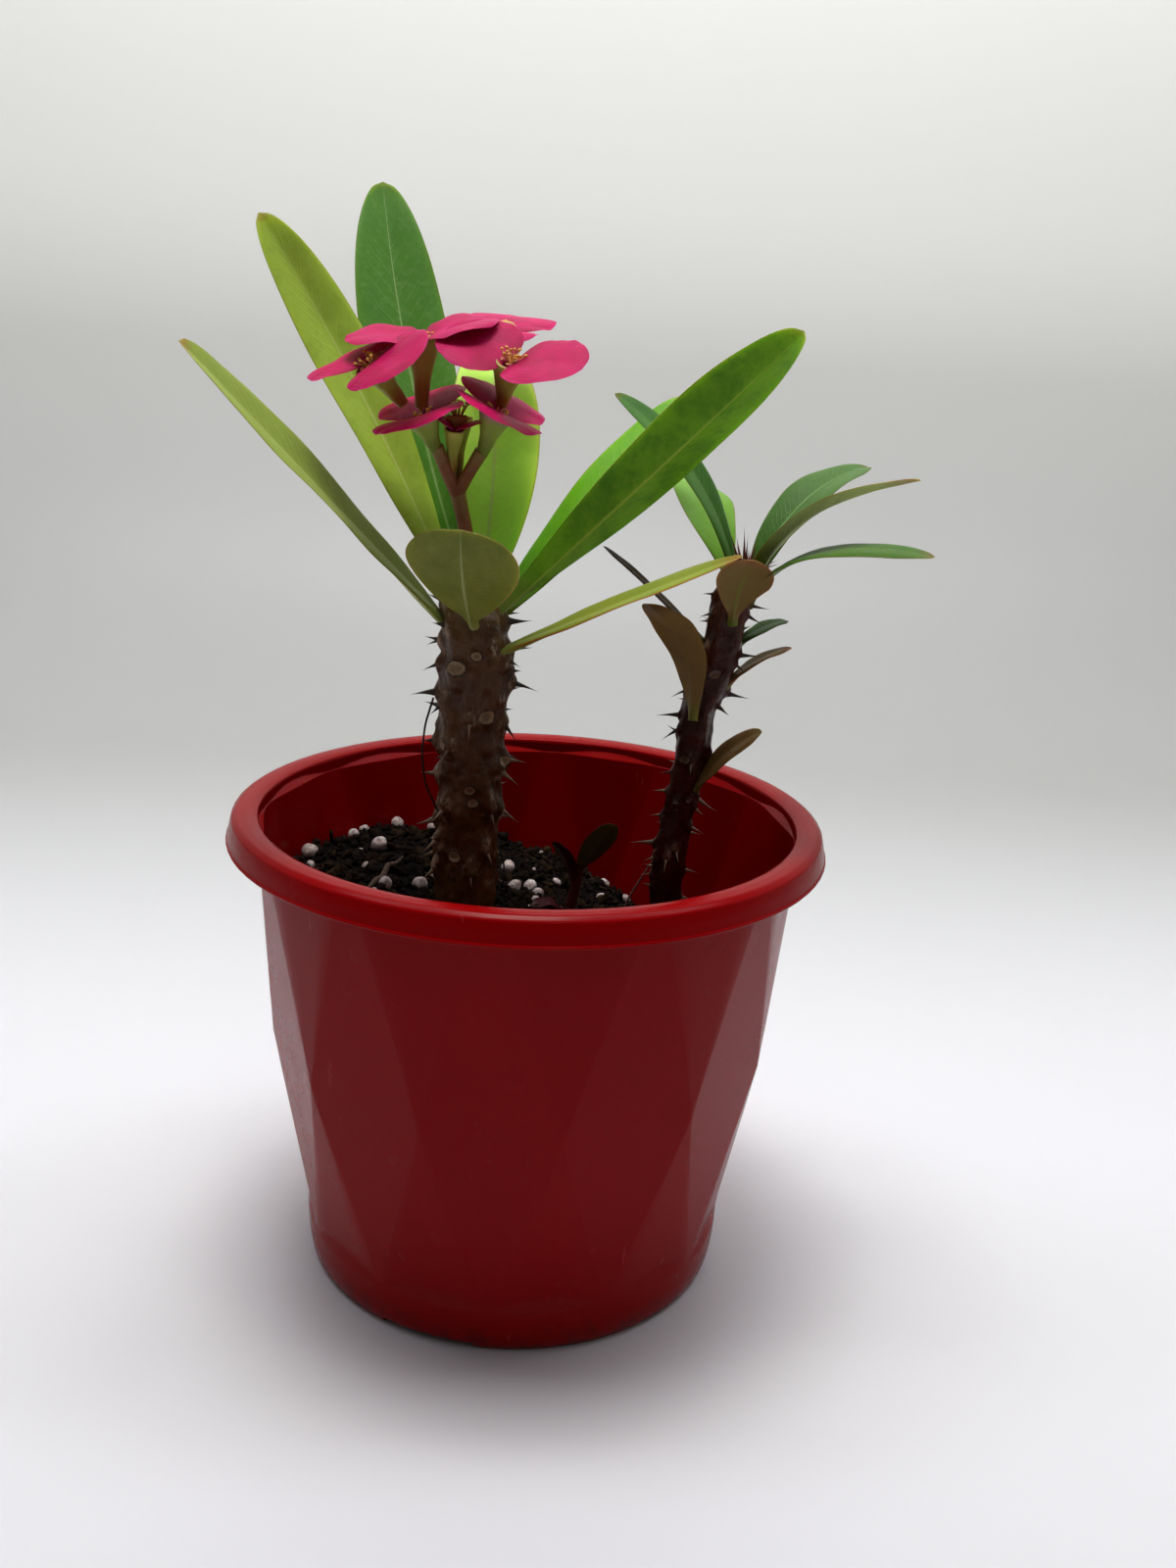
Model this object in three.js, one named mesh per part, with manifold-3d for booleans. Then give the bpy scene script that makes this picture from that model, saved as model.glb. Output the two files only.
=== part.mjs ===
// Potted euphorbia: a thorny two-stemmed plant with pink flower bracts, in a faceted nursery pot.
// Millimetres, +Z up. The origin is the centre of the pot's underside, where it stands.
// The viewer of the plant's front stands at -Y; +X is to their right.

import * as THREE from 'three';
import { ConvexGeometry } from 'three/addons/geometries/ConvexGeometry.js';
import { mergeVertices } from 'three/addons/utils/BufferGeometryUtils.js';
import Module from 'manifold-3d';

const wasm = await Module();
wasm.setup();

// ---- driving dimensions ----

const seatGap = 0.3; // air left between two pieces that touch

const pot = {
  wall: 1.45,
  floor: 1.6,
  netCount: 12, // facets around the wall
  netTurn: -5, // azimuth of the first facet's point, degrees
  netTop: { radius: 65.4, z: 117 }, // above the rim: the wall is cut off before its facets meet
  netMiddle: { radius: 59.6, z: 58.5 },
  netBottom: { radius: 51.8, z: 12 },
  foot: [[48.4, 0], [49.6, 0.6], [50.5, 2.2], [51.1, 6], [51.4, 11], [50.6, 14.5]], // radius, z up the outside
  // the net's inside ends at z; from there flat facets splay out to the round bore
  collar: { radius: 62.6, lip: 62.8, z: 109.6, outer: 64.4, under: 104.8, ledge: 58, splay: 0.89 },
  rim: [[62.8, 112.3], [63.6, 113.0], [65.4, 113.3], [67.2, 113.1], [68.4, 112.3], [69.3, 110.0],
    [70.0, 106.9], [68.7, 106.8], [68.2, 109.4], [67.3, 111.4], [66.0, 111.7], [64.8, 110.0]],
  slotAzimuths: [-112, 8, 128],
  slotWidth: 26, // degrees
  slotInner: 40,
  slotOuter: 60,
  slotHeight: 2.0,
  sides: 48,
};
const overcut = 5; // how far a cutting solid runs past the face it cuts

// the soil's surface: its height at the axis, its fall towards +X, its sag and its lumps; and the
// pale beads that lie on it, on a spiral between two radii
const soilShape = {
  height: 84, slope: -0.3, crown: -0.0025, lump: 1.3, cells: 12,
  beads: 15, beadRadius: 2.4, beadInner: 14, beadOuter: 54, beadTurn: 2.4, beadRise: 0.3,
};

// stems as stations up the axis: x, y, z, radius
const mainStem = {
  stations: [[-14, -6, 46, 3.5], [-14.4, -6, 60, 6.2], [-14.5, -6, 84, 7.0], [-14.5, -6, 97, 7.0],
    [-14.4, -6, 108, 7.4], [-13.9, -6, 119, 7.3], [-14, -6, 131, 7.6], [-13.8, -6, 138, 7.6],
    [-13.4, -6, 145, 8.6], [-13.2, -6, 151, 7.7], [-13.8, -6, 157, 7.5], [-14.4, -6, 162, 6.6],
    [-15, -6, 166, 4.4], [-15.2, -6, 168.5, 1.6]],
  ribs: 8, ribDepth: 0.05, rings: 16, twist: 60,
  spines: { from: 94, to: 150, rows: 8, around: 5, length: 4.6, radius: 0.75 },
};
const secondStem = {
  stations: [[33, 6, 44, 1.6], [33.4, 6, 58, 2.8], [33.8, 6, 74, 3.3], [33.8, 6, 90, 3.5],
    [34.6, 6, 103, 4.2], [36.3, 6, 116, 3.5], [38.2, 6, 128, 4.0], [38.5, 6, 137, 4.4],
    [41.2, 6, 144, 4.9], [43.4, 6, 153, 4.6], [44.1, 6, 161, 4.7], [45.5, 6, 167, 4.2],
    [46.8, 6, 171, 2.9], [47.6, 6, 173.5, 1.0]],
  ribs: 6, ribDepth: 0.06, rings: 18, twist: 80,
  spines: { from: 88, to: 166, rows: 9, around: 4, length: 4.8, radius: 0.6 },
};
const rowTurn = 0.4; // how far each row of spines is turned from the last, in steps round the stem
const spineRoot = 1.5; // how deep a spine starts inside its stem
const spineTilt = 12; // degrees above level
const spineFromLeaf = 5; // no spine stands nearer than this to a leaf's base
const sproutStem = {
  stations: [[11.4, 14, 66, 0.8], [11, 14, 76, 1.3], [11.3, 13.6, 84, 1.35], [12.6, 13, 91, 1.3],
    [13.4, 12.6, 96.5, 0.7]],
  ribs: 4, ribDepth: 0, rings: 8, twist: 0,
};

// leaves: base and tip of the midrib, how far its middle arches up and sways sideways, the
// blade's full width, how far along it is widest, its turn about the midrib and its V fold
const leaves = [
  { name: 'leaf_far_left', base: [-20.4, -7.1, 157.6], tip: [-70.4, -39.4, 216.3], arch: -0.9, sway: 2.9,
    width: 18.6, turn: 30, colour: 0x8fa848 },
  { name: 'leaf_tall_left', base: [-19.2, -6.5, 163.5], tip: [-64.2, 11.3, 242.5], arch: -5.7, sway: 6.9,
    width: 16.9, widest: 0.64, turn: 28, colour: 0x8ca33a },
  { name: 'leaf_tall_back', base: [-15.8, -0.6, 163], tip: [-41.4, 49.5, 252.8], arch: -0.4, sway: -2.7,
    width: 21.1, turn: 13, colour: 0x4f8a2e },
  { name: 'leaf_lime_back', base: [-13.6, -1.2, 161.6], tip: [-14.3, 30, 217.1], arch: 9, sway: 1.6,
    width: 20.5, turn: -6, colour: 0x7fb03a },
  { name: 'leaf_big_right', base: [-8.6, -7.5, 161], tip: [52.2, -17.2, 224.1], arch: 4.1, sway: -2.9,
    width: 16.9, widest: 0.64, turn: 60, fold: 24, colour: 0x4f8a2e },
  { name: 'leaf_behind_right', base: [-9, -3.2, 158.6], tip: [32.7, 23.8, 208], arch: 1.2, sway: 2.4,
    width: 18.1, turn: -12, colour: 0x5d9a34 },
  { name: 'leaf_front', base: [-13.7, -12.6, 158.6], tip: [-16.4, -29.5, 181.8], arch: -3, sway: -0.2,
    width: 24.7, widest: 0.74, turn: 7, fold: 3, colour: 0x6c8f3c },
  { name: 'leaf_low_right', base: [-8.4, -9.8, 152], tip: [43.2, -18.7, 177.6], arch: 0.6, sway: 0.7,
    width: 9, turn: -13, colour: 0x9aa832 },
  { name: 'crown_leaf_left', base: [44.8, 7.8, 167.6], tip: [14.9, 4.8, 208.7], arch: 6.3, sway: -0.4,
    width: 10, turn: 36, colour: 0x4c7f4a },
  { name: 'crown_leaf_back', base: [46.4, 9.2, 164], tip: [37.8, 38.5, 187.1], arch: 5.7, sway: -5,
    width: 16, widest: 0.7, turn: -13, fold: 3, colour: 0x83b23c },
  { name: 'crown_leaf_right', base: [49, 7.6, 166.6], tip: [76, 19.7, 194.3], arch: 6.9, sway: 0.8,
    width: 13.9, turn: -8, colour: 0x4f8550 },
  { name: 'crown_leaf_long', base: [48.6, 5.2, 165], tip: [81.2, -11.3, 194.6], arch: 4.8, sway: 11,
    width: 10.5, turn: 9, fold: 11, colour: 0x74823c },
  { name: 'crown_leaf_drooping', base: [48.6, 6, 162.6], tip: [83.6, -21.3, 179.8], arch: 8.5, sway: 8.6,
    width: 11.6, turn: -10, fold: 4, colour: 0x5f8f3a },
  { name: 'round_leaf', base: [44.6, 1.6, 159.2], tip: [46.2, -14.8, 176.4], arch: 0.6, sway: 0.9,
    width: 12.4, widest: 0.74, turn: 7, fold: -8, colour: 0x8a6a3a },
  { name: 'brown_leaf', base: [37, 0.6, 136], tip: [24.4, -5, 164], arch: 5.9, sway: 0.2,
    width: 13, widest: 0.66, turn: -21, fold: 7, colour: 0x6f5a3a },
  { name: 'thin_leaf', base: [40, 7.2, 152], tip: [14.4, 10.3, 174.1], arch: 0.6, sway: 0.2,
    width: 7, turn: 1, colour: 0x4d4430 },
  { name: 'small_green_leaf', base: [47, 7.6, 153], tip: [58.5, 10.6, 158.7], arch: 1.2, sway: 0.9,
    width: 7, turn: -2, colour: 0x5c8a40 },
  { name: 'small_brown_leaf', base: [44.4, 5, 143], tip: [59.7, 6.5, 153], arch: 1.5, sway: -0.7,
    width: 5.3, turn: -4, colour: 0x7a5f42 },
  { name: 'low_leaf', base: [39.2, 3.8, 118], tip: [53.3, -0.4, 134.4], arch: 1.4, sway: -0.9,
    width: 7.2, turn: -31, colour: 0x6e6238 },
  { name: 'sprout_leaf_green', base: [13.2, 12.6, 94.4], tip: [20.9, 8.9, 107], arch: -0.3, sway: 0.3,
    width: 7.7, turn: 44, colour: 0x3f5e34 },
  { name: 'sprout_leaf_red', base: [12, 13.2, 90], tip: [6.3, 7.3, 102.6], arch: 0.7, sway: -0.4,
    width: 5.1, turn: -9, colour: 0x5a2a26 },
];
const leafShape = {
  widest: 0.58, tipPower: 0.55, fold: 14, // degrees
  blade: 0.9, stalk: 2.6, stalkHalf: 1.25, edge: 0.15, thinning: 0.45, steps: 9,
};

// flower stalk: a short stalk that forks, in stations x, y, z with one radius
const stalk = {
  radius: 1.6,
  main: [[-15.2, -6, 164], [-15.6, -6, 174.6], [-17.4, -7.4, 182.5], [-18.8, -8, 188.1]],
  left: [[-18.6, -8, 187], [-20.8, -9.4, 191.5], [-23, -11, 195.8]],
  right: [[-18.6, -8, 187], [-16.2, -9.6, 191], [-13.4, -11, 195.3]],
};

// flowers: a funnel cup from foot to top, and two bracts on its rim. spin turns the first bract
// about the cup (0 is +X), lift raises both from the rim's plane
const flowers = [
  { id: 'a', foot: [-23.2, -11.1, 196.2], top: [-26, -12, 202.7], axis: [-0.33, -0.1, 0.94], rim: 3.4,
    spin: -89, lift: [2, 8] },
  { id: 'b', foot: [-13.2, -11.1, 195.8], top: [-10.4, -12, 204.2], axis: [0.42, -0.12, 0.9], rim: 3.3,
    spin: -92, lift: [6, 6] },
  { id: 'c', foot: [-30.3, -13.4, 205.6], top: [-36.6, -16.6, 213.2], axis: [-0.51, -0.36, 0.78], rim: 3.3,
    spin: 136, lift: [-2, 1] },
  { id: 'd', foot: [-26.4, -10.4, 205], top: [-26.4, -8.6, 218.6], axis: [-0.02, -0.17, 0.98], rim: 3.2,
    spin: 186, lift: [-2, 14] },
  { id: 'e', foot: [-9.3, -14, 206.6], top: [-7.4, -18, 215], axis: [-0.04, -0.47, 0.88], rim: 3.5,
    spin: 150, lift: [8, 11] },
  { id: 'f', foot: [-9.4, -8.6, 207], top: [-10.4, 4, 220.4], axis: [0.06, 0, 1], rim: 3.3,
    spin: 75, lift: [12, -8] },
];
const cupShape = { neck: 1.45, well: 1.2, lip: 0.9, wellLip: 1.4, sides: 10 };
const bract = {
  length: 13.2, width: 19, widest: 0.6, tipPower: 0.42, blade: 0.7, arch: 0.9, fold: 6, steps: 6,
};
const bractSeat = { start: 0.6, half: 0.8 }; // where a bract starts and its half width there, in rim radii
const bud = { foot: [-20, -8.6, 190.6], top: [-19.2, -11, 200.2], axis: [0.06, -0.14, 0.99], rim: 1.9,
  spin: 176, lift: [30, 22], length: 5, width: 4.6 };
const oldCup = { foot: [-18.9, -7, 190.4], top: [-19, -6, 202.6], rim: 2.9 };
const stamens = { count: 6, height: 3.2, radius: 0.3, ring: 1.1, plate: 0.6, plateRim: 0.3, splay: 0.25 };
const withStamens = ['c', 'e']; // the open flowers whose stamens stand up

// loose things lying on the soil
const straw = { from: [-38.1, -4.6], to: [-31.2, 20.4], radius: 0.8, rise: 1.1, steps: 6 };
const fallenLeaf = {
  at: [1.3, 7.5], length: 11.5, width: 8, heading: 30, rise: 1.2, // heading in degrees
  fold: 8, arch: 0.6, stalk: 1.2, stalkHalf: 0.6,
};

const rgb = { pot: 0xa8121c, soil: 0x241f1c, mainStem: 0x5b4434, secondStem: 0x3f231f, sprout: 0x5a2420,
  stalk: 0x8a5a45, cup: 0x7d7a3e, bract: 0xd0225c, stamens: 0xd9a441, straw: 0x7a5c3e, fallen: 0x7a1f22 };

// ---- solids from geometries ----

const toRadians = THREE.MathUtils.degToRad;

// a closed geometry becomes a solid once its shared vertices are merged
function solidOf(geometry) {
  const bare = geometry.clone();
  bare.deleteAttribute('normal');
  bare.deleteAttribute('uv');
  const merged = mergeVertices(bare, 1e-4);
  const index = merged.index.array;
  const triangles = [];
  for (let i = 0; i < index.length; i += 3) {
    const [a, b, c] = [index[i], index[i + 1], index[i + 2]];
    if (a !== b && b !== c && c !== a) triangles.push(a, b, c);
  }
  return new wasm.Manifold(new wasm.Mesh({
    numProp: 3,
    vertProperties: new Float32Array(merged.attributes.position.array),
    triVerts: new Uint32Array(triangles),
  }));
}

// every vertex goes where move(x, y, z) sends it
function reshape(geometry, move) {
  const position = geometry.attributes.position;
  for (let i = 0; i < position.count; i += 1) {
    const moved = move(position.getX(i), position.getY(i), position.getZ(i));
    position.setXYZ(i, moved.x, moved.y, moved.z);
  }
  return geometry;
}

function joinAll(solids) {
  return solids.reduce((joined, next) => joined.add(next));
}

function largestPart(solid) {
  const parts = solid.decompose();
  return parts.reduce((best, next) => (next.volume() > best.volume() ? next : best));
}

function geometryOf(solid) {
  const { vertProperties, triVerts } = solid.getMesh();
  const geometry = new THREE.BufferGeometry();
  geometry.setAttribute('position', new THREE.BufferAttribute(new Float32Array(vertProperties), 3));
  geometry.setIndex(new THREE.BufferAttribute(new Uint32Array(triVerts), 1));
  return geometry;
}

function meshOf(name, solid, colour, roughness) {
  const geometry = geometryOf(solid);
  geometry.computeVertexNormals();
  const material = new THREE.MeshStandardMaterial({ color: colour, roughness, metalness: 0 });
  const mesh = new THREE.Mesh(geometry, material);
  mesh.name = name;
  return mesh;
}

// a profile of [radius, z] turned about the Z axis
function turned(profile, sides) {
  const lathe = new THREE.LatheGeometry(profile.map(([r, z]) => new THREE.Vector2(r, z)), sides);
  return solidOf(lathe.rotateX(Math.PI / 2));
}

// ---- pot ----

// the wall's net of triangles and diamonds: points at the top and bottom, and between them
// halfway up, so that each diamond lies flat
function wallNet(inset, topZ) {
  const points = [];
  const step = 360 / pot.netCount;
  const { netTop, netMiddle, netBottom } = pot;
  const ring = (radius, z, turn) => {
    const out = radius - inset;
    for (let k = 0; k < pot.netCount; k += 1) {
      const azimuth = toRadians(pot.netTurn + (k + turn) * step);
      points.push(new THREE.Vector3(out * Math.cos(azimuth), out * Math.sin(azimuth), z));
    }
  };
  ring(netTop.radius, netTop.z, 0);
  ring(netMiddle.radius, netMiddle.z, 0.5);
  ring(netBottom.radius, netBottom.z, 0);
  return solidOf(new ConvexGeometry(points)).trimByPlane([0, 0, -1], -topZ);
}

// the round foot below the net, drawn in by the inset and cut off at the floor
function footPlug(inset, floorZ) {
  const sides = pot.foot.filter(([, z]) => z > floorZ).map(([r, z]) => [r - inset, z]);
  const corner = [sides[0][0] - 0.4, floorZ];
  return turned([[0, floorZ], corner, ...sides, [0, sides.at(-1)[1]]], pot.sides);
}

// the space inside the pot up to the ledge under the collar, drawn in by a clearance
function potHollow(clearance) {
  const net = wallNet(pot.wall + clearance, pot.collar.z + 0.5);
  return net.add(footPlug(pot.wall + clearance, pot.floor + clearance));
}

function collarBore() {
  const { radius, lip, z, splay } = pot.collar;
  const lipZ = pot.rim[0][1];
  const topZ = lipZ + overcut;
  const bore = turned([[0, z], [radius, z], [lip, lipZ], [lip, topZ], [0, topZ]], pot.sides);
  const points = [];
  for (const [out, height] of [[radius, z], [radius + (topZ - z) * splay, topZ]]) {
    for (let k = 0; k < pot.netCount; k += 1) {
      const azimuth = toRadians(pot.netTurn + k * (360 / pot.netCount));
      points.push(new THREE.Vector3(out * Math.cos(azimuth), out * Math.sin(azimuth), height));
    }
  }
  return bore.intersect(solidOf(new ConvexGeometry(points)));
}

function drainSlot(azimuth) {
  const half = toRadians(pot.slotWidth / 2);
  const middle = toRadians(azimuth);
  const outline = new THREE.Shape();
  outline.absarc(0, 0, pot.slotOuter, middle - half, middle + half, false);
  outline.absarc(0, 0, pot.slotInner, middle + half, middle - half, true);
  const depth = pot.slotHeight + overcut;
  const block = new THREE.ExtrudeGeometry(outline, { depth, bevelEnabled: false, curveSegments: 6 });
  return solidOf(block.translate(0, 0, -overcut));
}

function makePot() {
  const { collar, rim, foot } = pot;
  const under = [[collar.ledge, collar.under], [collar.outer, collar.under]];
  const over = [[collar.radius, collar.z], [collar.ledge, collar.z]];
  const band = turned([...under, ...rim.slice().reverse(), ...over, under[0]], pot.sides);
  const base = turned([[0, 0], ...foot, [0, foot.at(-1)[1]]], pot.sides);
  const shell = wallNet(0, collar.z).add(base).add(band);
  const hollow = potHollow(0).add(collarBore());
  return largestPart(shell.subtract(hollow).subtract(joinAll(pot.slotAzimuths.map(drainSlot))));
}

// ---- soil ----

function soilHeight(x, y) {
  const { height, slope, crown, lump } = soilShape;
  const across = Math.sin(x * 0.31 + 1.3 * Math.sin(y * 0.19));
  const deep = Math.sin(y * 0.37 + 1.7 * Math.sin(x * 0.23));
  return height + slope * x + crown * x * x + lump * (across + deep) / 2;
}

function makeSoil(clearance) {
  const { cells, beads, beadRadius, beadInner, beadOuter, beadTurn, beadRise } = soilShape;
  const span = 2 * pot.netTop.radius + overcut;
  const block = new THREE.BoxGeometry(span, span, 1, cells, cells, 1);
  const heap = solidOf(reshape(block, (x, y, z) => (
    new THREE.Vector3(x, y, z > 0 ? soilHeight(x, y) + clearance : -overcut))));
  let soil = heap.intersect(potHollow(seatGap));
  for (let i = 0; i < beads; i += 1) {
    const angle = i * beadTurn;
    const out = THREE.MathUtils.lerp(beadInner, beadOuter, Math.sqrt((i + 0.5) / beads));
    const radius = beadRadius * (0.8 + 0.35 * Math.sin(i * 5)) + clearance;
    const at = [out * Math.cos(angle), out * Math.sin(angle)];
    const bead = new THREE.IcosahedronGeometry(radius, 0);
    soil = soil.add(solidOf(bead.translate(at[0], at[1], soilHeight(...at) + beadRise)));
  }
  return soil;
}

// ---- stems ----

function stationAt(stations, t) {
  const step = t * (stations.length - 1);
  const low = Math.min(Math.floor(step), stations.length - 2);
  return stations[low].map((value, k) => THREE.MathUtils.lerp(value, stations[low + 1][k], step - low));
}

// level circles up the stations, with ribs that wind slowly round
function stemTube({ stations, ribs, ribDepth, rings, twist }, grow) {
  const sides = Math.max(8, ribs * 2);
  const tube = new THREE.CylinderGeometry(1, 1, 1, sides, rings);
  return solidOf(reshape(tube, (x, y, z) => {
    const t = y + 0.5;
    const [cx, cy, cz, radius] = stationAt(stations, t);
    const around = Math.atan2(-z, x);
    const rib = 1 + ribDepth * Math.cos(ribs * around);
    const end = (t === 0 ? -grow : 0) + (t === 1 ? grow : 0);
    const turn = toRadians(twist) * t;
    const out = radius * rib + grow;
    const reach = Math.hypot(x, z) * out;
    const azimuth = around + turn;
    return new THREE.Vector3(cx + reach * Math.cos(azimuth), cy + reach * Math.sin(azimuth), cz + end);
  }));
}

// where the spines stand: rows up the stem, each turned part of a step from the last
function spineSites({ stations, spines }) {
  const heights = stations.map((station) => station[2]);
  const sites = [];
  for (let row = 0; row < spines.rows; row += 1) {
    const z = spines.from + (spines.to - spines.from) * row / (spines.rows - 1);
    const above = heights.findIndex((height) => height > z);
    const part = (z - heights[above - 1]) / (heights[above] - heights[above - 1]);
    const [cx, cy, , radius] = stationAt(stations, (above - 1 + part) / (stations.length - 1));
    for (let k = 0; k < spines.around; k += 1) {
      const azimuth = 2 * Math.PI * (k + row * rowTurn) / spines.around;
      sites.push({ x: cx, y: cy, z, radius, azimuth });
    }
  }
  return sites;
}

function clearOfLeaves(site) {
  const foot = new THREE.Vector3(site.x + site.radius * Math.cos(site.azimuth),
    site.y + site.radius * Math.sin(site.azimuth), site.z);
  return leaves.every(({ base }) => foot.distanceTo(new THREE.Vector3(...base)) > spineFromLeaf);
}

function makeStem(stem, grow) {
  let solid = stemTube(stem, grow);
  if (!stem.spines) return solid;
  const { length, radius } = stem.spines;
  for (const site of spineSites(stem).filter(clearOfLeaves)) {
    const whole = length + spineRoot;
    const spine = new THREE.ConeGeometry(radius + grow, whole + grow, 4);
    spine.translate(0, whole / 2, 0).rotateZ(-Math.PI / 2).rotateY(toRadians(-spineTilt));
    spine.translate(site.radius - spineRoot, 0, 0).rotateZ(site.azimuth);
    spine.translate(site.x, site.y, site.z);
    solid = solid.add(solidOf(spine));
  }
  return solid;
}

// ---- blades: leaves and bracts ----

// a thin blade on a bent midrib. Its half width rises as u to a power and falls to the tip as
// (1 - u) to another, its halves fold up from the midrib, and its base narrows to a short stalk
function makeBlade(spec, grow) {
  const shape = { ...leafShape, turn: 0, arch: 0, sway: 0, ...spec };
  const base = new THREE.Vector3(...shape.base);
  const tip = new THREE.Vector3(...shape.tip);
  const along = tip.clone().sub(base);
  const length = along.length();
  along.normalize();
  const up = shape.up ? new THREE.Vector3(...shape.up) : new THREE.Vector3(0, 0, 1);
  const level = along.clone().cross(up).normalize();
  const side = level.clone().applyAxisAngle(along, -toRadians(shape.turn));
  const normal = side.clone().cross(along);
  const bend = base.clone().add(tip).multiplyScalar(0.5)
    .addScaledVector(normal, 2 * shape.arch).addScaledVector(side, 2 * shape.sway);
  const midrib = new THREE.QuadraticBezierCurve3(base, bend, tip);
  const rise = shape.tipPower * shape.widest / (1 - shape.widest);
  const peak = shape.widest ** rise * (1 - shape.widest) ** shape.tipPower;
  const fold = toRadians(shape.fold);

  const box = new THREE.BoxGeometry(1, 2, 1, shape.steps, 2, 1);
  return solidOf(reshape(box, (x, y, z) => {
    const u = x + 0.5;
    const point = midrib.getPoint(u);
    const tangent = midrib.getTangent(u);
    const across = side.clone().addScaledVector(tangent, -side.dot(tangent)).normalize();
    const out = across.clone().cross(tangent);
    const blade = shape.width / 2 * u ** rise * (1 - u) ** shape.tipPower / peak;
    const half = Math.hypot(blade, shape.stalkHalf * (1 - u) ** 2) + shape.edge + grow;
    const thick = shape.blade + (shape.stalk - shape.blade) * (1 - u) ** 4;
    point.addScaledVector(tangent, (u === 0 ? -grow : 0) + (u === 1 ? grow : 0));
    point.addScaledVector(across, -y * half * Math.cos(fold));
    point.addScaledVector(out, Math.abs(y) * half * Math.sin(fold));
    const depth = thick * (1 - shape.thinning * Math.abs(y)) + 2 * grow;
    return point.addScaledVector(out, z * depth);
  }));
}

// ---- flowers ----

function sweepTube(stations, radius, grow) {
  const path = new THREE.CatmullRomCurve3(stations.map((p) => new THREE.Vector3(...p)));
  const section = new THREE.Shape().absarc(0, 0, radius + grow, 0, 2 * Math.PI, false);
  return solidOf(new THREE.ExtrudeGeometry(section, { steps: 6, extrudePath: path, curveSegments: 4 }));
}

function makeStalk(grow) {
  return joinAll([stalk.main, stalk.left, stalk.right].map((line) => sweepTube(line, stalk.radius, grow)));
}

function turnFromY(axis) {
  return new THREE.Quaternion().setFromUnitVectors(new THREE.Vector3(0, 1, 0), axis);
}

// a funnel from its foot to its rim, with a shallow well in the top
function makeCup({ foot, top, rim }, grow) {
  const from = new THREE.Vector3(...foot);
  const axis = new THREE.Vector3(...top).sub(from);
  const height = axis.length();
  const { neck, well, lip, wellLip, sides } = cupShape;
  const foot2d = [[0, -grow], [neck * 0.85 + grow, -grow]];
  const funnel = [[neck, 0.25], [neck * 1.25, 0.5], [rim * 0.72, 0.75]].map(([r, part]) => (
    [r + grow, height * part]));
  const edge = [[rim + grow, height + grow], [rim - lip + grow, height + 0.15 + grow]];
  const inside = [[rim - wellLip - grow, height - well * 0.7 + grow], [0, height - well + grow]];
  const outline = [...foot2d, ...funnel, ...edge, ...inside].map(([r, z]) => new THREE.Vector2(r, z));
  const cup = new THREE.LatheGeometry(outline, sides);
  cup.applyQuaternion(turnFromY(axis.normalize()));
  return solidOf(cup.translate(...foot));
}

// the first (side 0) or second (side 1) bract of a flower, as the line that a blade is built on
function bractBlade(flower, side) {
  const axis = new THREE.Vector3(...flower.axis).normalize();
  const east = new THREE.Vector3(1, 0, 0).addScaledVector(axis, -axis.x).normalize();
  const out = east.applyAxisAngle(axis, toRadians(flower.spin + 180 * side));
  const lift = toRadians(flower.lift[side]);
  const away = out.multiplyScalar(Math.cos(lift)).addScaledVector(axis, Math.sin(lift));
  const centre = new THREE.Vector3(...flower.top);
  const length = flower.length ?? bract.length;
  return {
    ...bract,
    base: centre.clone().addScaledVector(away, flower.rim * bractSeat.start).toArray(),
    tip: centre.clone().addScaledVector(away, flower.rim + length).toArray(),
    up: axis.toArray(),
    width: flower.width ?? bract.width,
    stalk: bract.blade,
    stalkHalf: flower.rim * bractSeat.half,
  };
}

// filaments on a small round plate, in the well of a cup
function makeStamens(flower) {
  const { count, height, radius, ring, plate, plateRim, splay } = stamens;
  const seat = cupShape.well - seatGap;
  const disc = new THREE.CylinderGeometry(ring + plateRim, ring, plate, 8);
  const parts = [solidOf(disc.translate(0, plate / 2 - seat, 0))];
  for (let k = 0; k < count; k += 1) {
    const turn = 2 * Math.PI * k / count;
    const filament = new THREE.CylinderGeometry(radius * 1.4, radius, height, 4);
    filament.translate(0, height / 2, 0).rotateZ(-splay);
    filament.translate(ring * 0.8, plate / 2 - seat, 0).rotateY(turn);
    parts.push(solidOf(filament));
  }
  const axis = new THREE.Vector3(...flower.top).sub(new THREE.Vector3(...flower.foot)).normalize();
  const cluster = geometryOf(joinAll(parts)).applyQuaternion(turnFromY(axis));
  return solidOf(cluster.translate(...flower.top));
}

// ---- loose things on the soil ----

function makeStraw() {
  const points = [];
  for (let k = 0; k <= straw.steps; k += 1) {
    const x = THREE.MathUtils.lerp(straw.from[0], straw.to[0], k / straw.steps);
    const y = THREE.MathUtils.lerp(straw.from[1], straw.to[1], k / straw.steps);
    points.push([x, y, soilHeight(x, y) + straw.rise]);
  }
  return sweepTube(points, straw.radius, 0);
}

function makeFallenLeaf() {
  const { at, length, heading, rise } = fallenLeaf;
  const way = toRadians(heading);
  const end = [at[0] + length * Math.cos(way), at[1] + length * Math.sin(way)];
  const base = [...at, soilHeight(...at) + rise];
  const tip = [...end, soilHeight(...end) + rise];
  return makeBlade({ ...fallenLeaf, base, tip }, 0);
}

// ---- the whole plant ----

const plant = new THREE.Group();
const placed = []; // what is already there, each solid grown by the seat gap

function boxesMeet(a, b) {
  return a.min.every((low, k) => low < b.max[k] && b.min[k] < a.max[k]);
}

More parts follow.
